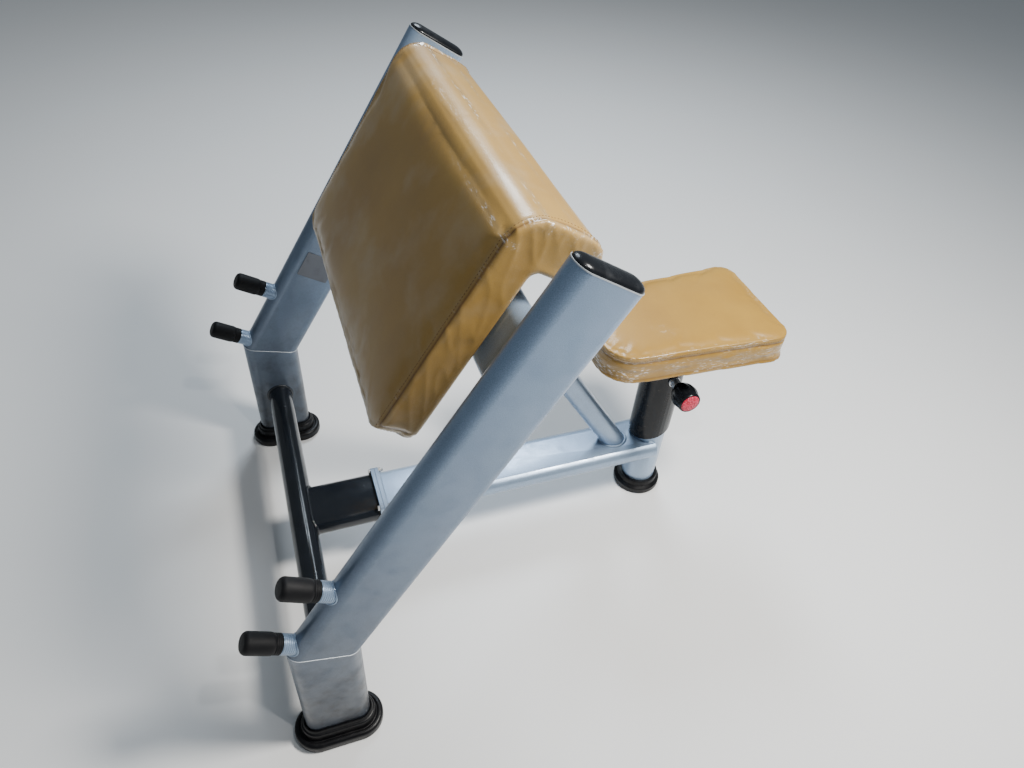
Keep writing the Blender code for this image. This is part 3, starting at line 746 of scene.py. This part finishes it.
def pull_knob():
    belly = []
    for number in range(15):
        t = number / 14
        radius = KNOB_RADIUS * math.sin(math.pi * (0.17 + 0.50 * t)) ** 0.75
        belly.append((radius, KNOB_IN + 0.039 * t))
    rim = quarter((belly[-1][0], KNOB_OUT - 0.0085), (BUTTON_RADIUS + 0.0012, KNOB_OUT), 6)
    well = BUTTON_RADIUS + 0.0002
    seat = [(well, KNOB_OUT - 0.0006), (well, KNOB_OUT - 0.0030), (0.0, KNOB_OUT - 0.0030)]
    profile = [(0.0056, KNOB_IN)] + belly + rim + seat
    bm = turned(profile, PIN_AXIS, 120)
    flute(bm, PIN_AXIS, KNOB_IN + 0.004, KNOB_OUT - 0.006, 0.055)
    remade("pull_knob", "fluted", bm, GLOSS_BLACK, sharp=35)


def knob_button():
    base = KNOB_OUT - 0.0027
    rise = [(BUTTON_RADIUS, base), (BUTTON_RADIUS, base + 0.0016)]
    dome = quarter((BUTTON_RADIUS - 0.0004, base + 0.0022), (0.0, base + 0.0064), 16)
    bm = turned([(0.0, base)] + rise + dome, PIN_AXIS, 72)
    outward = PIN_AXIS.to_3x3() @ Vector((0, 0, 1))
    for vert in bm.verts:
        height = (PIN_AXIS.inverted() @ vert.co).z
        if height > base + 0.0020:
            vert.co += outward * 0.0009 * noise.noise(vert.co * 480.0)
    piece = show_bm("knob_button_pebbled", bm, RED, "pull_pin", sharp=60)
    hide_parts("knob_cap")


pull_knob()
knob_button()

# %% [markdown]
# ## Weld beads
#
# Where one tube meets another there is a bead of weld under the paint.  Its line is
# found rather than drawn: a ring of points in the shape of the tube's end is slid along
# the tube until it touches the other piece.  The bead itself is a thin tube along that
# line, swelling and thinning with each ripple of the welder's hand.

# %% Find where a tube lands, and lay a bead there
WELD_STEP = 0.0011
RIPPLE_LENGTH = 3.3


def round_ring(radius, place, steps=96):
    turns = [2 * math.pi * i / steps for i in range(steps)]
    return [place @ Vector((radius * math.cos(a), radius * math.sin(a), 0)) for a in turns]


def oval_ring(grow, place, steps=128):
    """Points round the flat-oval section, evenly by angle at each end."""
    points = []
    for i in range(steps):
        angle = 2 * math.pi * (i + 0.5) / steps
        way = Vector((math.cos(angle), math.sin(angle), 0))
        core = Vector((math.copysign(OVAL_REACH, way.x), 0, 0))
        points.append(place @ (core + way * (OVAL_RADIUS + grow)))
    return points


def landed(ring, direction, node):
    tree = tree_from(merged_copy(node))
    hits = [tree.ray_cast(point, direction)[0] for point in ring]
    return [hit for hit in hits if hit is not None]


def length_of(line):
    return sum((b - a).length for a, b in zip(line, line[1:]))


def open_line(points, step):
    """Points at every step along an open line."""
    result = [points[0]]
    carried = 0.0
    for a, b in zip(points, points[1:]):
        length = (b - a).length
        walked = step - carried
        while walked <= length:
            result.append(a.lerp(b, walked / length))
            walked += step
        carried = length - (walked - step)
    return result


def closed_line(points, step):
    """The closed line through points, with a point at about every step."""
    line = points + points[:1]
    count = round(length_of(line) / step)
    return open_line(line, length_of(line) / count)[:count]


def weld(name, ring, radius=0.0030, finish=SILVER, ripple=0.10):
    """A thin tube along a closed line, its radius rippled."""
    points = closed_line(ring, WELD_STEP)
    curve = bpy.data.curves.new("weld_" + name, "CURVE")
    curve.dimensions = "3D"
    curve.bevel_depth = radius
    curve.bevel_resolution = 2
    spline = curve.splines.new("POLY")
    spline.points.add(len(points) - 1)
    for number, (knot, point) in enumerate(zip(spline.points, points)):
        knot.co = (*point, 1)
        knot.radius = 1 + ripple * math.sin(2 * math.pi * number / RIPPLE_LENGTH)
    spline.use_cyclic_u = True
    mesh = baked(placed("line", curve))
    mesh.name = "weld_" + name
    show("weld_" + name, mesh, finish, sharp=80)


# %% [markdown]
# The frames' own welds come first: the mitre in each side frame, ground nearly flush and
# painted a lighter silver as a highlight line, and the cross tube and cross beam between them.

# %% Welds on the side frames
HALF_BEND = (math.pi / 2 - SLOPE) / 2
MITRE = Vector((-math.cos(HALF_BEND), 0, math.sin(HALF_BEND)))
BEAM_STATION = sum(corner.x for corner in reach_in("cross_beam", INCLINE)) / 2
CROSS = middle("cross_tube")
CROSS_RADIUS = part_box("cross_tube")[1].z - CROSS.z
CLEARANCE = 0.0010


def mitre_ring(y):
    centre = Vector((FOOT.x, y, BEND_Z))
    stretch = MITRE / math.cos(HALF_BEND)
    return [centre + stretch * point.x + WIDTHWAYS * point.y for point in oval_ring(0.0, Matrix())]


for side, sign in SIDES.items():
    weld("mitre_" + side, mitre_ring(sign * FOOT.y), 0.0007, HIGHLIGHT_SILVER, ripple=0.05)
    tube_end = at(CROSS.x, sign * INNER_FACE, CROSS.z) @ TOWARDS_LEFT
    beam_end = INCLINE @ at(BEAM_STATION, sign * INNER_FACE, 0) @ TOWARDS_LEFT
    tube_line = round_ring(CROSS_RADIUS + CLEARANCE, tube_end)
    weld("cross_tube_" + side, tube_line, 0.0032, BLACK)
    weld("cross_beam_" + side, oval_ring(CLEARANCE, beam_end))

# %% Welds on the base, the brace and the bar rests
BASE_Z = middle("base_tube").z
STUB_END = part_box("flange_front")[0].x
BASE_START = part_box("flange_rear")[1].x
STUB_MIDDLE = FOOT.x + 0.08
SHORT_OF_POST = POST.x - 0.10
BRACE_FOOT_X = POST.x - 0.091
BRACE_RADIUS = 0.0258


def base_ring(x):
    return oval_ring(CLEARANCE, at(x, 0, BASE_Z) @ LENGTHWAYS)


stub_landing = landed(base_ring(STUB_MIDDLE), Vector((-1, 0, 0)), "cross_tube")
weld("stub_to_flange", base_ring(STUB_END), 0.0030, BLACK)
weld("base_to_flange", base_ring(BASE_START))
weld("stub_to_cross_tube", stub_landing, 0.0034, BLACK)
weld("base_to_post", landed(base_ring(SHORT_OF_POST), Vector((1, 0, 0)), "seat_post"))

brace_top = INCLINE @ Vector((BEAM_STATION, 0, 0))
brace_foot = Vector((BRACE_FOOT_X, 0, BASE_Z + OVAL_RADIUS))
brace_run = (brace_foot - brace_top).normalized()
brace_side = brace_run.cross(WIDTHWAYS)
brace_middle = axes(brace_side, WIDTHWAYS, brace_run, (brace_top + brace_foot) / 2)
brace_ring = round_ring(BRACE_RADIUS, brace_middle)
weld("brace_to_base", landed(brace_ring, brace_run, "base_tube"), 0.0034)
weld("brace_to_beam", landed(brace_ring, -brace_run, "cross_beam"), 0.0034)

for side, sign in SIDES.items():
    for row, station in PEG_ROWS.items():
        ring = round_ring(COLLAR_RADIUS + 0.0005, INCLINE @ at(station, sign * FOOT.y, 0.09), 64)
        line = landed(ring, -OUT_FRONT, "side_frame_" + side)
        weld(f"peg_{side}_{row}", line, 0.0014, ripple=0.06)

print(sum(len(piece.data.polygons) for piece in PIECES), "faces in the hard pieces")

# %% [markdown]
# ## Tan upholstery in its shipping film
#
# The cover is soft synthetic leather, and the maker's clear film is still shrunk over
# it.  The film matters more than the grain: it turns the tan milky where it lies flat,
# and breaks highlights into sparkles where it creases.  Part of the milky tone is painted
# reflection of the room, stronger on the arm pad, and the sparkles are painted highlights:
# thin near-white streaks in the colour.  Two attributes are painted on the skin: one
# says how crumpled the film is at each point and where the painted glints go, and the
# other darkens the groove of a seam with painted shade.

# %% Leather finish
def filmed_leather(name, streaks, sheen_mist):
    steady = {"Coat_Roughness": 0.15, "Coat_IOR": 1.45, "Specular_IOR_Level": 0.4}
    finish = Finish(name, (0.44, 0.25, 0.05), **steady)
    crease_and_glint = finish.add("ShaderNodeAttribute", {"attribute_name": "crease_and_glint"}, output="Fac")
    shade = finish.between(finish.cloud(6.0, 4.0), 0.30, 0.72)
    tan = finish.mix(shade, (0.335, 0.182, 0.024), (0.425, 0.245, 0.036))
    pores = finish.cells(1050.0)
    grained = finish.mix(finish.between(pores, 0.0, 0.35), (0.20, 0.098, 0.014), tan)
    haze = finish.between(finish.cloud(9.0, 4.0), 0.48, 0.80)
    # The milky mix is partly the film's own cloudiness and partly painted reflection, also at
    # creases.
    milky_sheen = finish.mix(haze * sheen_mist + crease_and_glint * 0.10 + sheen_mist * 0.3, grained, (0.60, 0.56, 0.48))
    # Painted shade: the seam's groove is darkened towards deep brown.
    sewn = finish.add("ShaderNodeAttribute", {"attribute_name": "sewn"}, output="Fac")
    milky_sheen = finish.mix(sewn * 0.75, milky_sheen, (0.070, 0.022, 0.008))
    lie = finish.stretched(streaks)
    facets = finish.cells(34.0, lie)
    # Painted highlights: thin near-white streaks where the film is creased.
    painted_glints = finish.between(finish.cloud(190.0, 3.0, lie), 0.56, 0.63) * crease_and_glint * crease_and_glint
    colour = finish.mix(painted_glints * 0.75, milky_sheen, (0.97, 0.96, 0.94))
    grain = finish.bump(pores, 0.00012, 0.4)
    ripples = finish.bump(facets, 0.0045, crease_and_glint * 0.7 + 0.02, grain)
    return finish.paint(
        Base_Color=colour,
        Roughness=0.42 - haze * 0.08 - crease_and_glint * 0.16,
        Coat_Weight=haze * 0.2 + crease_and_glint * 0.5 + 0.25,
        Normal=ripples,
    )


# The arm pad gets more mist than the seat: painted reflection on its face.
PAD_LEATHER = filmed_leather("tan_leather_pad", (1.5, 0.30, 1.5), 0.24)
SEAT_LEATHER = filmed_leather("tan_leather_seat", (0.5, 0.5, 2.4), 0.03)
THREAD = two_tone("brown_thread", *BROWN, 0.7, 2400.0, 2.0)

# %% [markdown]
# ### Stuffing a cushion with the cloth simulator
#
# The engineering model has a plain solid for each cushion.  The solid and its backing
# board are melted into one skin with a voxel remesh whose squares line up with the
# cushion's own sides, so that its edges come out straight.  It is drawn in a little, and
# then it is blown up as cloth under pressure.  Corners pull in and panels crown, as on
# a real stuffed cover.  Where it lies on its board it must stay flat, so each point has
# a `freedom`, from 0 on the board to 1 well away from it.  The pad's ends are firmer.

# %% Melt, stuff and smooth
BOARD_OVERLAP = 0.0008
CLOTH_FRAMES = 20
SHRINK_TAKEN_OUT = 0.85


def grown_copy(node, place, grow):
    """A node's mesh in place's axes, with every point moved out along its normal."""
    bm = merged_copy(node)
    bmesh.ops.transform(bm, matrix=place.inverted(), verts=bm.verts)
    bmesh.ops.recalc_face_normals(bm, faces=bm.faces)
    bm.normal_update()
    for vert in bm.verts:
        vert.co += vert.normal * grow
    return bm


def melted(name, cushion, board, voxel, place):
    """One closed skin round both nodes, as squares that line up with place's axes."""
    bm = bmesh.new()
    for part in (grown_copy(cushion, place, 0.0), grown_copy(board, place, BOARD_OVERLAP)):
        spare = mesh_from("spare", part)
        bm.from_mesh(spare)
        bpy.data.meshes.remove(spare)
    source = placed(name, mesh_from(name, bm))
    remesh = source.modifiers.new("skin", "REMESH")
    remesh.mode = "VOXEL"
    remesh.voxel_size = voxel
    skin = baked(source)
    skin.transform(place)
    skin.update()
    return skin


def coordinates(mesh):
    flat = np.empty(len(mesh.vertices) * 3)
    mesh.vertices.foreach_get("co", flat)
    return flat.reshape(-1, 3)


def normals(mesh):
    flat = np.empty(len(mesh.vertices) * 3)
    mesh.vertex_normals.foreach_get("vector", flat)
    return flat.reshape(-1, 3)


def set_coordinates(mesh, points):
    mesh.vertices.foreach_set("co", points.ravel())
    mesh.update()


def stuffed(mesh, freedom, draw_in, cap):
    """Blow the skin up under pressure, each point moving at most cap times its freedom.

    The simulated cover also shrinks, and most of that inward move is taken out again.
    """
    start = coordinates(mesh) - normals(mesh) * draw_in * freedom[:, None]
    set_coordinates(mesh, start)
    source = placed("stuffing", mesh)
    cloth = source.modifiers.new("stuffing", "CLOTH")
    cloth.settings.use_pressure = True
    cloth.settings.uniform_pressure_force = 4.0
    cloth.settings.effector_weights.gravity = 0.0
    cloth.settings.tension_stiffness = 22.0
    cloth.settings.compression_stiffness = 22.0
    cloth.point_cache.frame_start = 1
    cloth.point_cache.frame_end = CLOTH_FRAMES
    for number in range(1, CLOTH_FRAMES + 1):
        bpy.context.scene.frame_set(number)
    outward = normals(mesh)
    puffed = baked(source)
    move = coordinates(puffed) - start
    climb = np.sum(move * outward, axis=1)
    move -= outward * np.minimum(climb, 0.0)[:, None] * SHRINK_TAKEN_OUT
    length = np.linalg.norm(move, axis=1)
    allowed = cap * freedom
    move *= (allowed / np.maximum(length + allowed, 1e-9))[:, None]
    set_coordinates(puffed, start + move)
    bpy.context.scene.frame_set(1)
    return puffed


def subdivided(mesh):
    source = placed("finer", mesh)
    finer = source.modifiers.new("finer", "SUBSURF")
    finer.levels = 1
    finer.render_levels = 1
    return baked(source)


def smoothstep(value, low, high):
    t = np.clip((value - low) / (high - low), 0, 1)
    return t * t * (3 - 2 * t)


# %% [markdown]
# ### The arm pad
#
# In the incline's axes the pad is an L: a slab that the upper arms lie on, and a nose
# along its top that meets the chest.  Its board is the thin L behind it.

# %% Stuff the arm pad
PAD_LOW, PAD_HIGH = reach_in("arm_pad_cushion", INCLINE)
BOARD_THICKNESS = 0.012
PAD_BACK = 0.0281
NOSE_UNDERSIDE = 0.692
INTO_INCLINE = np.array(INCLINE.inverted())
FROM_INCLINE = np.array(INCLINE)


def moved_by(matrix, points):
    return points @ matrix[:3, :3].T + matrix[:3, 3]


def in_incline(mesh):
    """The mesh's points in the incline's axes: up the slope, across, and out."""
    return moved_by(INTO_INCLINE, coordinates(mesh))


def pad_depth(local):
    """How far a point is in front of the slab's back or above the nose's underside."""
    return np.maximum(local[:, 2] - PAD_BACK, local[:, 0] - NOSE_UNDERSIDE)


pad_skin = melted("pad_skin", "arm_pad_cushion", "arm_pad_board", 0.006, INCLINE)
pad_local = in_incline(pad_skin)
pad_freedom = smoothstep(pad_depth(pad_local), 0.002, 0.022)
pad_freedom *= 1 - 0.7 * smoothstep(np.abs(pad_local[:, 1]), PAD_HIGH.y - 0.020, PAD_HIGH.y - 0.004)
pad_skin = subdivided(stuffed(pad_skin, pad_freedom, 0.0045, 0.0125))
print("arm pad", len(pad_skin.polygons), "squares")

# %% [markdown]
# The back of each cushion then steps in round its board, so that the board shows as a
# separate piece let into the leather.  A point lies over the board when a ray from just
# behind it, towards the board, meets it.

# %% Let a board into the back of a skin
BOARD_MARGIN = 0.0012
RAY_START = 0.004
RAY_LENGTH = 0.010


def step_in(local, chosen, axis, back, depth, board):
    """Push the chosen points over the board in along one axis, to depth past the back."""
    towards = Vector([float(i == axis) for i in range(3)])
    for number in np.flatnonzero(chosen):
        start = Vector(local[number])
        start[axis] = back - RAY_START
        if board.ray_cast(start, towards, RAY_LENGTH)[0] is not None:
            local[number, axis] = back + depth


def let_in_board(mesh):
    local = in_incline(mesh)
    board = tree_from(grown_copy("arm_pad_board", INCLINE, BOARD_MARGIN))
    depth = BOARD_THICKNESS + 0.0006
    slab = (local[:, 2] < PAD_BACK + 0.005) & (local[:, 0] < NOSE_UNDERSIDE + 0.005)
    nose = (local[:, 0] < NOSE_UNDERSIDE + 0.005) & (local[:, 2] < PAD_BACK)
    step_in(local, slab & ~nose, 2, PAD_BACK, depth, board)
    step_in(local, nose, 0, NOSE_UNDERSIDE, depth, board)
    set_coordinates(mesh, moved_by(FROM_INCLINE, local))


let_in_board(pad_skin)

# %% [markdown]
# ### Seams
#
# The pad's cover is a long wrap sewn to an L-shaped panel at each end.  The seam's line
# is found by shooting rays inwards at an outline that runs round the L, and the skin is
# pressed down along it.  Then a row of small stitches is laid beside the groove.

# %% Find a seam on the skin, press it in and stitch it
STITCH_PITCH = 0.0052
STITCH_SIZE = (0.0034, 0.0009, 0.0007, 1.0)


def skin_tree(mesh):
    bm = bmesh.new()
    bm.from_mesh(mesh)
    return tree_from(bm)


def shot(tree, rays):
    """Where the rays, each a start and a direction, meet the skin."""
    hits = [tree.ray_cast(start, direction)[0] for start, direction in rays]
    return [hit for hit in hits if hit is not None]


def nearness(mesh, line, width):
    """1 on the line, fading to 0 at a few widths from it."""
    tree = KDTree(len(line))
    for number, point in enumerate(line):
        tree.insert(point, number)
    tree.balance()
    distance = np.array([tree.find(vert.co)[2] for vert in mesh.vertices])
    return np.exp(-(distance / width) ** 2)


def press_in(mesh, line, depth, width):
    groove = nearness(mesh, line, width)
    set_coordinates(mesh, coordinates(mesh) - normals(mesh) * (groove * depth)[:, None])


def stitches(name, line, tree, body):
    """A row of short threads that lie along the line on the skin."""
    knots = open_line(line, STITCH_PITCH)
    bm = bmesh.new()
    for before, after in zip(knots, knots[1:]):
        place, normal, _, _ = tree.find_nearest((before + after) / 2)
        along = (after - before).normalized()
        across = normal.cross(along).normalized()
        made = bmesh.ops.create_uvsphere(bm, u_segments=6, v_segments=4, radius=0.5)["verts"]
        matrix = axes(along, across, along.cross(across), place + normal * 0.0002)
        bmesh.ops.transform(bm, matrix=matrix @ Matrix.Diagonal(STITCH_SIZE), verts=made)
    return show_bm(name, bm, THREAD, body, sharp=80)


# %% The arm pad's two end seams
SEAM_INSET = 0.0065
STITCHES_INSET = 0.0130
RAY_SPACING = 0.004
OUTSIDE = 0.03
# Two lines along the L, as (up the slope, out) points from its foot over the ridge to the
# nose's underside: one well outside the pad and one in its core.
OUTLINE = [Vector(point) for point in (
    (PAD_LOW.x - OUTSIDE, PAD_BACK - 0.002),
    (PAD_LOW.x - OUTSIDE, PAD_HIGH.z + OUTSIDE),
    (PAD_HIGH.x + OUTSIDE, PAD_HIGH.z + OUTSIDE),
    (PAD_HIGH.x + OUTSIDE, PAD_LOW.z - OUTSIDE),
    (NOSE_UNDERSIDE + 0.002, PAD_LOW.z - OUTSIDE),
)]
CORE = [Vector(point) for point in (
    (PAD_LOW.x + 0.02, PAD_BACK + 0.012),
    (PAD_LOW.x + 0.03, PAD_BACK + 0.025),
    (PAD_HIGH.x - 0.045, PAD_HIGH.z - 0.045),
    (PAD_HIGH.x - 0.035, PAD_LOW.z + 0.030),
    (NOSE_UNDERSIDE + 0.02, PAD_LOW.z + 0.02),
)]


def over_nose(outer):
    """0 along the slab, and a smooth hump from 0 to 1 and back round the nose."""
    if outer.x <= PAD_HIGH.x:
        return 0.0
    t = (PAD_HIGH.z + 0.01 - outer.y) / (PAD_HIGH.z - PAD_LOW.z)
    return math.sin(math.pi * min(max(t, 0.0), 1.0)) ** 0.7


def pad_seam_rays(sign, inset):
    """Rays that fall on the pad along its end seam, which runs further in over the nose."""
    rays = []
    for a, b, c, d in zip(OUTLINE, OUTLINE[1:], CORE, CORE[1:]):
        steps = round((b - a).length / RAY_SPACING)
        for step in range(steps):
            outer = a.lerp(b, step / steps)
            inner = c.lerp(d, step / steps)
            y = sign * (PAD_HIGH.y - inset - 0.012 * over_nose(outer))
            start = INCLINE @ Vector((outer.x, y, outer.y))
            target = INCLINE @ Vector((inner.x, y, inner.y))
            rays.append((start, (target - start).normalized()))
    return rays


pad_tree = skin_tree(pad_skin)
# Each end seam's groove gets painted shade.
pad_seam_shade = np.zeros(len(pad_skin.vertices))
for side, sign in SIDES.items():
    seam = shot(pad_tree, pad_seam_rays(sign, SEAM_INSET))
    line = open_line(seam, 0.002)
    pad_seam_shade = np.maximum(pad_seam_shade, nearness(pad_skin, line, 0.0024))
    press_in(pad_skin, line, 0.0022, 0.0042)
    print(side, "end seam", round(length_of(seam), 3), "m long")

# %% [markdown]
# The end panels hang in soft folds that lean with the slope, and the whole cover
# wrinkles a little where the film is drawn tight.  Both are small moves of the skin,
# from noise stretched along the folds.

# %% Folds in the skin and a map of creased film
def field(points, scale, seed=0.0):
    """Noise at each point, after scaling its three coordinates."""
    scaled = points * np.array(scale) + seed
    return np.array([noise.noise(Vector(point)) for point in scaled])


def ridged(values, sharpness):
    return (1 - np.abs(values)) ** sharpness


def fold_pad(mesh):
    points = coordinates(mesh)
    local = in_incline(mesh)
    ends = smoothstep(np.abs(local[:, 1]), PAD_HIGH.y - 0.016, PAD_HIGH.y - 0.006)
    ends *= smoothstep(pad_depth(local), 0.004, 0.014)
    up, across, out = local.T
    leaning = np.stack([up + 0.9 * out, across, out - 0.5 * up], axis=1)
    folds = ridged(field(leaning, (9.0, 14.0, 46.0)), 4.0) - 0.35
    foot = smoothstep(PAD_LOW.x + 0.035 - up, 0.0, 0.03)
    foot *= smoothstep(pad_depth(local), 0.004, 0.014)
    crumple = ridged(field(local, (60.0, 34.0, 60.0), 7.0), 5.0) - 0.3
    free = smoothstep(pad_depth(local), 0.004, 0.016)
    dimples = field(local, (11.0, 7.0, 11.0), 3.0)
    push = ends * folds * 0.0010 + foot * crumple * 0.0009 + free * dimples * 0.0009
    set_coordinates(mesh, points + normals(mesh) * push[:, None])


def line_at(distance, place, width):
    return np.exp(-((distance - place) / width) ** 2)


def pad_creases_and_glints(mesh):
    """Creased film round the foot, over the ends and at the nose's tip, with painted highlights on
    the ridge and in lines down it.
    """
    local = in_incline(mesh)
    up, across, out = local.T
    wander = field(local, (0.0, 6.0, 0.0), 4.0) * 0.006
    down_face = PAD_HIGH.x - up
    down_nose = PAD_HIGH.z - out
    on_face = smoothstep(down_nose, 0.030, 0.015)
    on_nose = smoothstep(down_face, 0.030, 0.015)
    near_end = smoothstep(across, 0.10, -0.10)
    # Besides creased film, this map places painted highlights: the band on the ridge and the three
    # thin lines down the nose and the face.
    amount = np.maximum.reduce([
        on_face * on_nose * 0.55,
        on_nose * line_at(down_nose + wander, 0.046, 0.0045),
        on_face * near_end * line_at(down_face + wander, 0.050, 0.0045) * 0.9,
        on_nose * line_at(down_nose - wander, 0.085, 0.0040) * 0.6,
        line_at(np.abs(across), PAD_HIGH.y - 0.010, 0.007) * (0.35 + 0.65 * on_nose),
        smoothstep(PAD_LOW.x + 0.030 - up, 0.0, 0.025) * 0.8,
        smoothstep(PAD_LOW.z + 0.045 - out, 0.0, 0.035) * 0.8,
    ])
    patches = np.clip(0.62 + 1.5 * field(local, (22.0, 9.0, 22.0), 11.0), 0.05, 1.0)
    return np.clip(amount * patches + 0.03, 0, 1)


def mark(mesh, name, values):
    attribute = mesh.attributes.new(name, "FLOAT", "POINT")
    attribute.data.foreach_set("value", values.astype(np.float32))


fold_pad(pad_skin)
mark(pad_skin, "crease_and_glint", pad_creases_and_glints(pad_skin))
mark(pad_skin, "sewn", pad_seam_shade)
pad_tree = skin_tree(pad_skin)
arm_pad = show("arm_pad_cover", pad_skin, PAD_LEATHER, sharp=180)
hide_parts("arm_pad_cushion")
for side, sign in SIDES.items():
    beside = shot(pad_tree, pad_seam_rays(sign, STITCHES_INSET))
    stitches("arm_pad_stitches_" + side, beside, pad_tree, "frame")

# %% [markdown]
# ### The seat
#
# The seat is a rounded trapezoid, narrow towards the pad.  It is stuffed the same way,
# over its own board.  A seam runs round it a finger's width below the top, and another
# just above the bottom edge.

# %% Stuff the seat
SEAT_LOW, SEAT_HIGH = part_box("seat_cushion")
SEAT_BOARD_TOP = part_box("seat_board")[1].z
SEAT_CENTRE = (SEAT_LOW + SEAT_HIGH) / 2

seat_skin = melted("seat_skin", "seat_cushion", "seat_board", 0.0045, Matrix())
seat_freedom = smoothstep(coordinates(seat_skin)[:, 2] - SEAT_LOW.z, 0.002, 0.020)
seat_skin = subdivided(stuffed(seat_skin, seat_freedom, 0.0035, 0.0095))


def seat_seam(height):
    """The line round the seat's side at one height, found by rays from all round it."""
    rays = []
    for number in range(360):
        angle = math.radians(number)
        way = Vector((math.cos(angle), math.sin(angle), 0))
        centre = Vector((SEAT_CENTRE.x + way.x * 0.10, 0, height))
        rays.append((centre + way * 0.35, -way))
    line = shot(skin_tree(seat_skin), rays)
    return line + line[:1]


UPPER_SEAM = SEAT_HIGH.z - 0.0165
LOWER_SEAM = SEAT_LOW.z + 0.0095
UPPER_DEPTH = 0.0020
seat_seam_shade = np.zeros(len(seat_skin.vertices))
# The painted shade in a groove is as dark as the groove is deep.
for height, depth in ((UPPER_SEAM, UPPER_DEPTH), (LOWER_SEAM, 0.0012)):
    line = open_line(seat_seam(height), 0.002)
    groove_shade = nearness(seat_skin, line, 0.0018) * depth / UPPER_DEPTH
    seat_seam_shade = np.maximum(seat_seam_shade, groove_shade)
    press_in(seat_skin, line, depth, 0.0034)


def finish_seat(mesh):
    points = coordinates(mesh)
    height = points[:, 2]
    free = smoothstep(height - SEAT_LOW.z, 0.004, 0.016)
    side = free * (1 - smoothstep(height, SEAT_HIGH.z - 0.016, SEAT_HIGH.z - 0.004))
    bands = ridged(field(points, (16.0, 16.0, 90.0), 5.0), 4.0) - 0.35
    dimples = field(points, (9.0, 9.0, 9.0), 9.0)
    push = side * bands * 0.0009 + free * dimples * 0.0005
    points = points + normals(mesh) * push[:, None]
    board = tree_from(grown_copy("seat_board", Matrix(), BOARD_MARGIN))
    depth = SEAT_BOARD_TOP - SEAT_LOW.z + 0.0005
    step_in(points, points[:, 2] < SEAT_LOW.z + 0.003, 2, SEAT_LOW.z, depth, board)
    set_coordinates(mesh, points)


def seat_creases_and_glints(mesh):
    """Creased film round the band, most in front, with a painted highlight line along the top edge
    and a painted glint spot on top.
    """
    points = coordinates(mesh)
    x, y, z = points.T
    below = SEAT_HIGH.z - z
    band = smoothstep(below, 0.008, 0.016) * smoothstep(z - SEAT_LOW.z, 0.0, 0.006)
    # The thin line along the top edge and the spot on top are painted highlights.
    rim = line_at(below, 0.0065, 0.0035)
    front = smoothstep(x, SEAT_LOW.x + 0.16, SEAT_LOW.x + 0.02)
    spot = line_at(np.hypot(x - SEAT_CENTRE.x + 0.05, y + 0.045), 0.0, 0.022)
    patches = np.clip(0.60 + 1.5 * field(points, (20.0, 20.0, 50.0), 2.0), 0.05, 1.0)
    amount = np.maximum.reduce([band * (0.62 + 0.38 * front), rim * 0.9, spot * 0.8])
    return np.clip(amount * patches + 0.03, 0, 1)


finish_seat(seat_skin)
mark(seat_skin, "crease_and_glint", seat_creases_and_glints(seat_skin))
mark(seat_skin, "sewn", seat_seam_shade)
seat_cover = show("seat_cover", seat_skin, SEAT_LEATHER, "seat", sharp=180)
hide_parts("seat_cushion")
seat_tree = skin_tree(seat_skin)
stitches("seat_stitches", seat_seam(UPPER_SEAM + 0.0055), seat_tree, "seat")
print("seat", len(seat_skin.polygons), "squares")
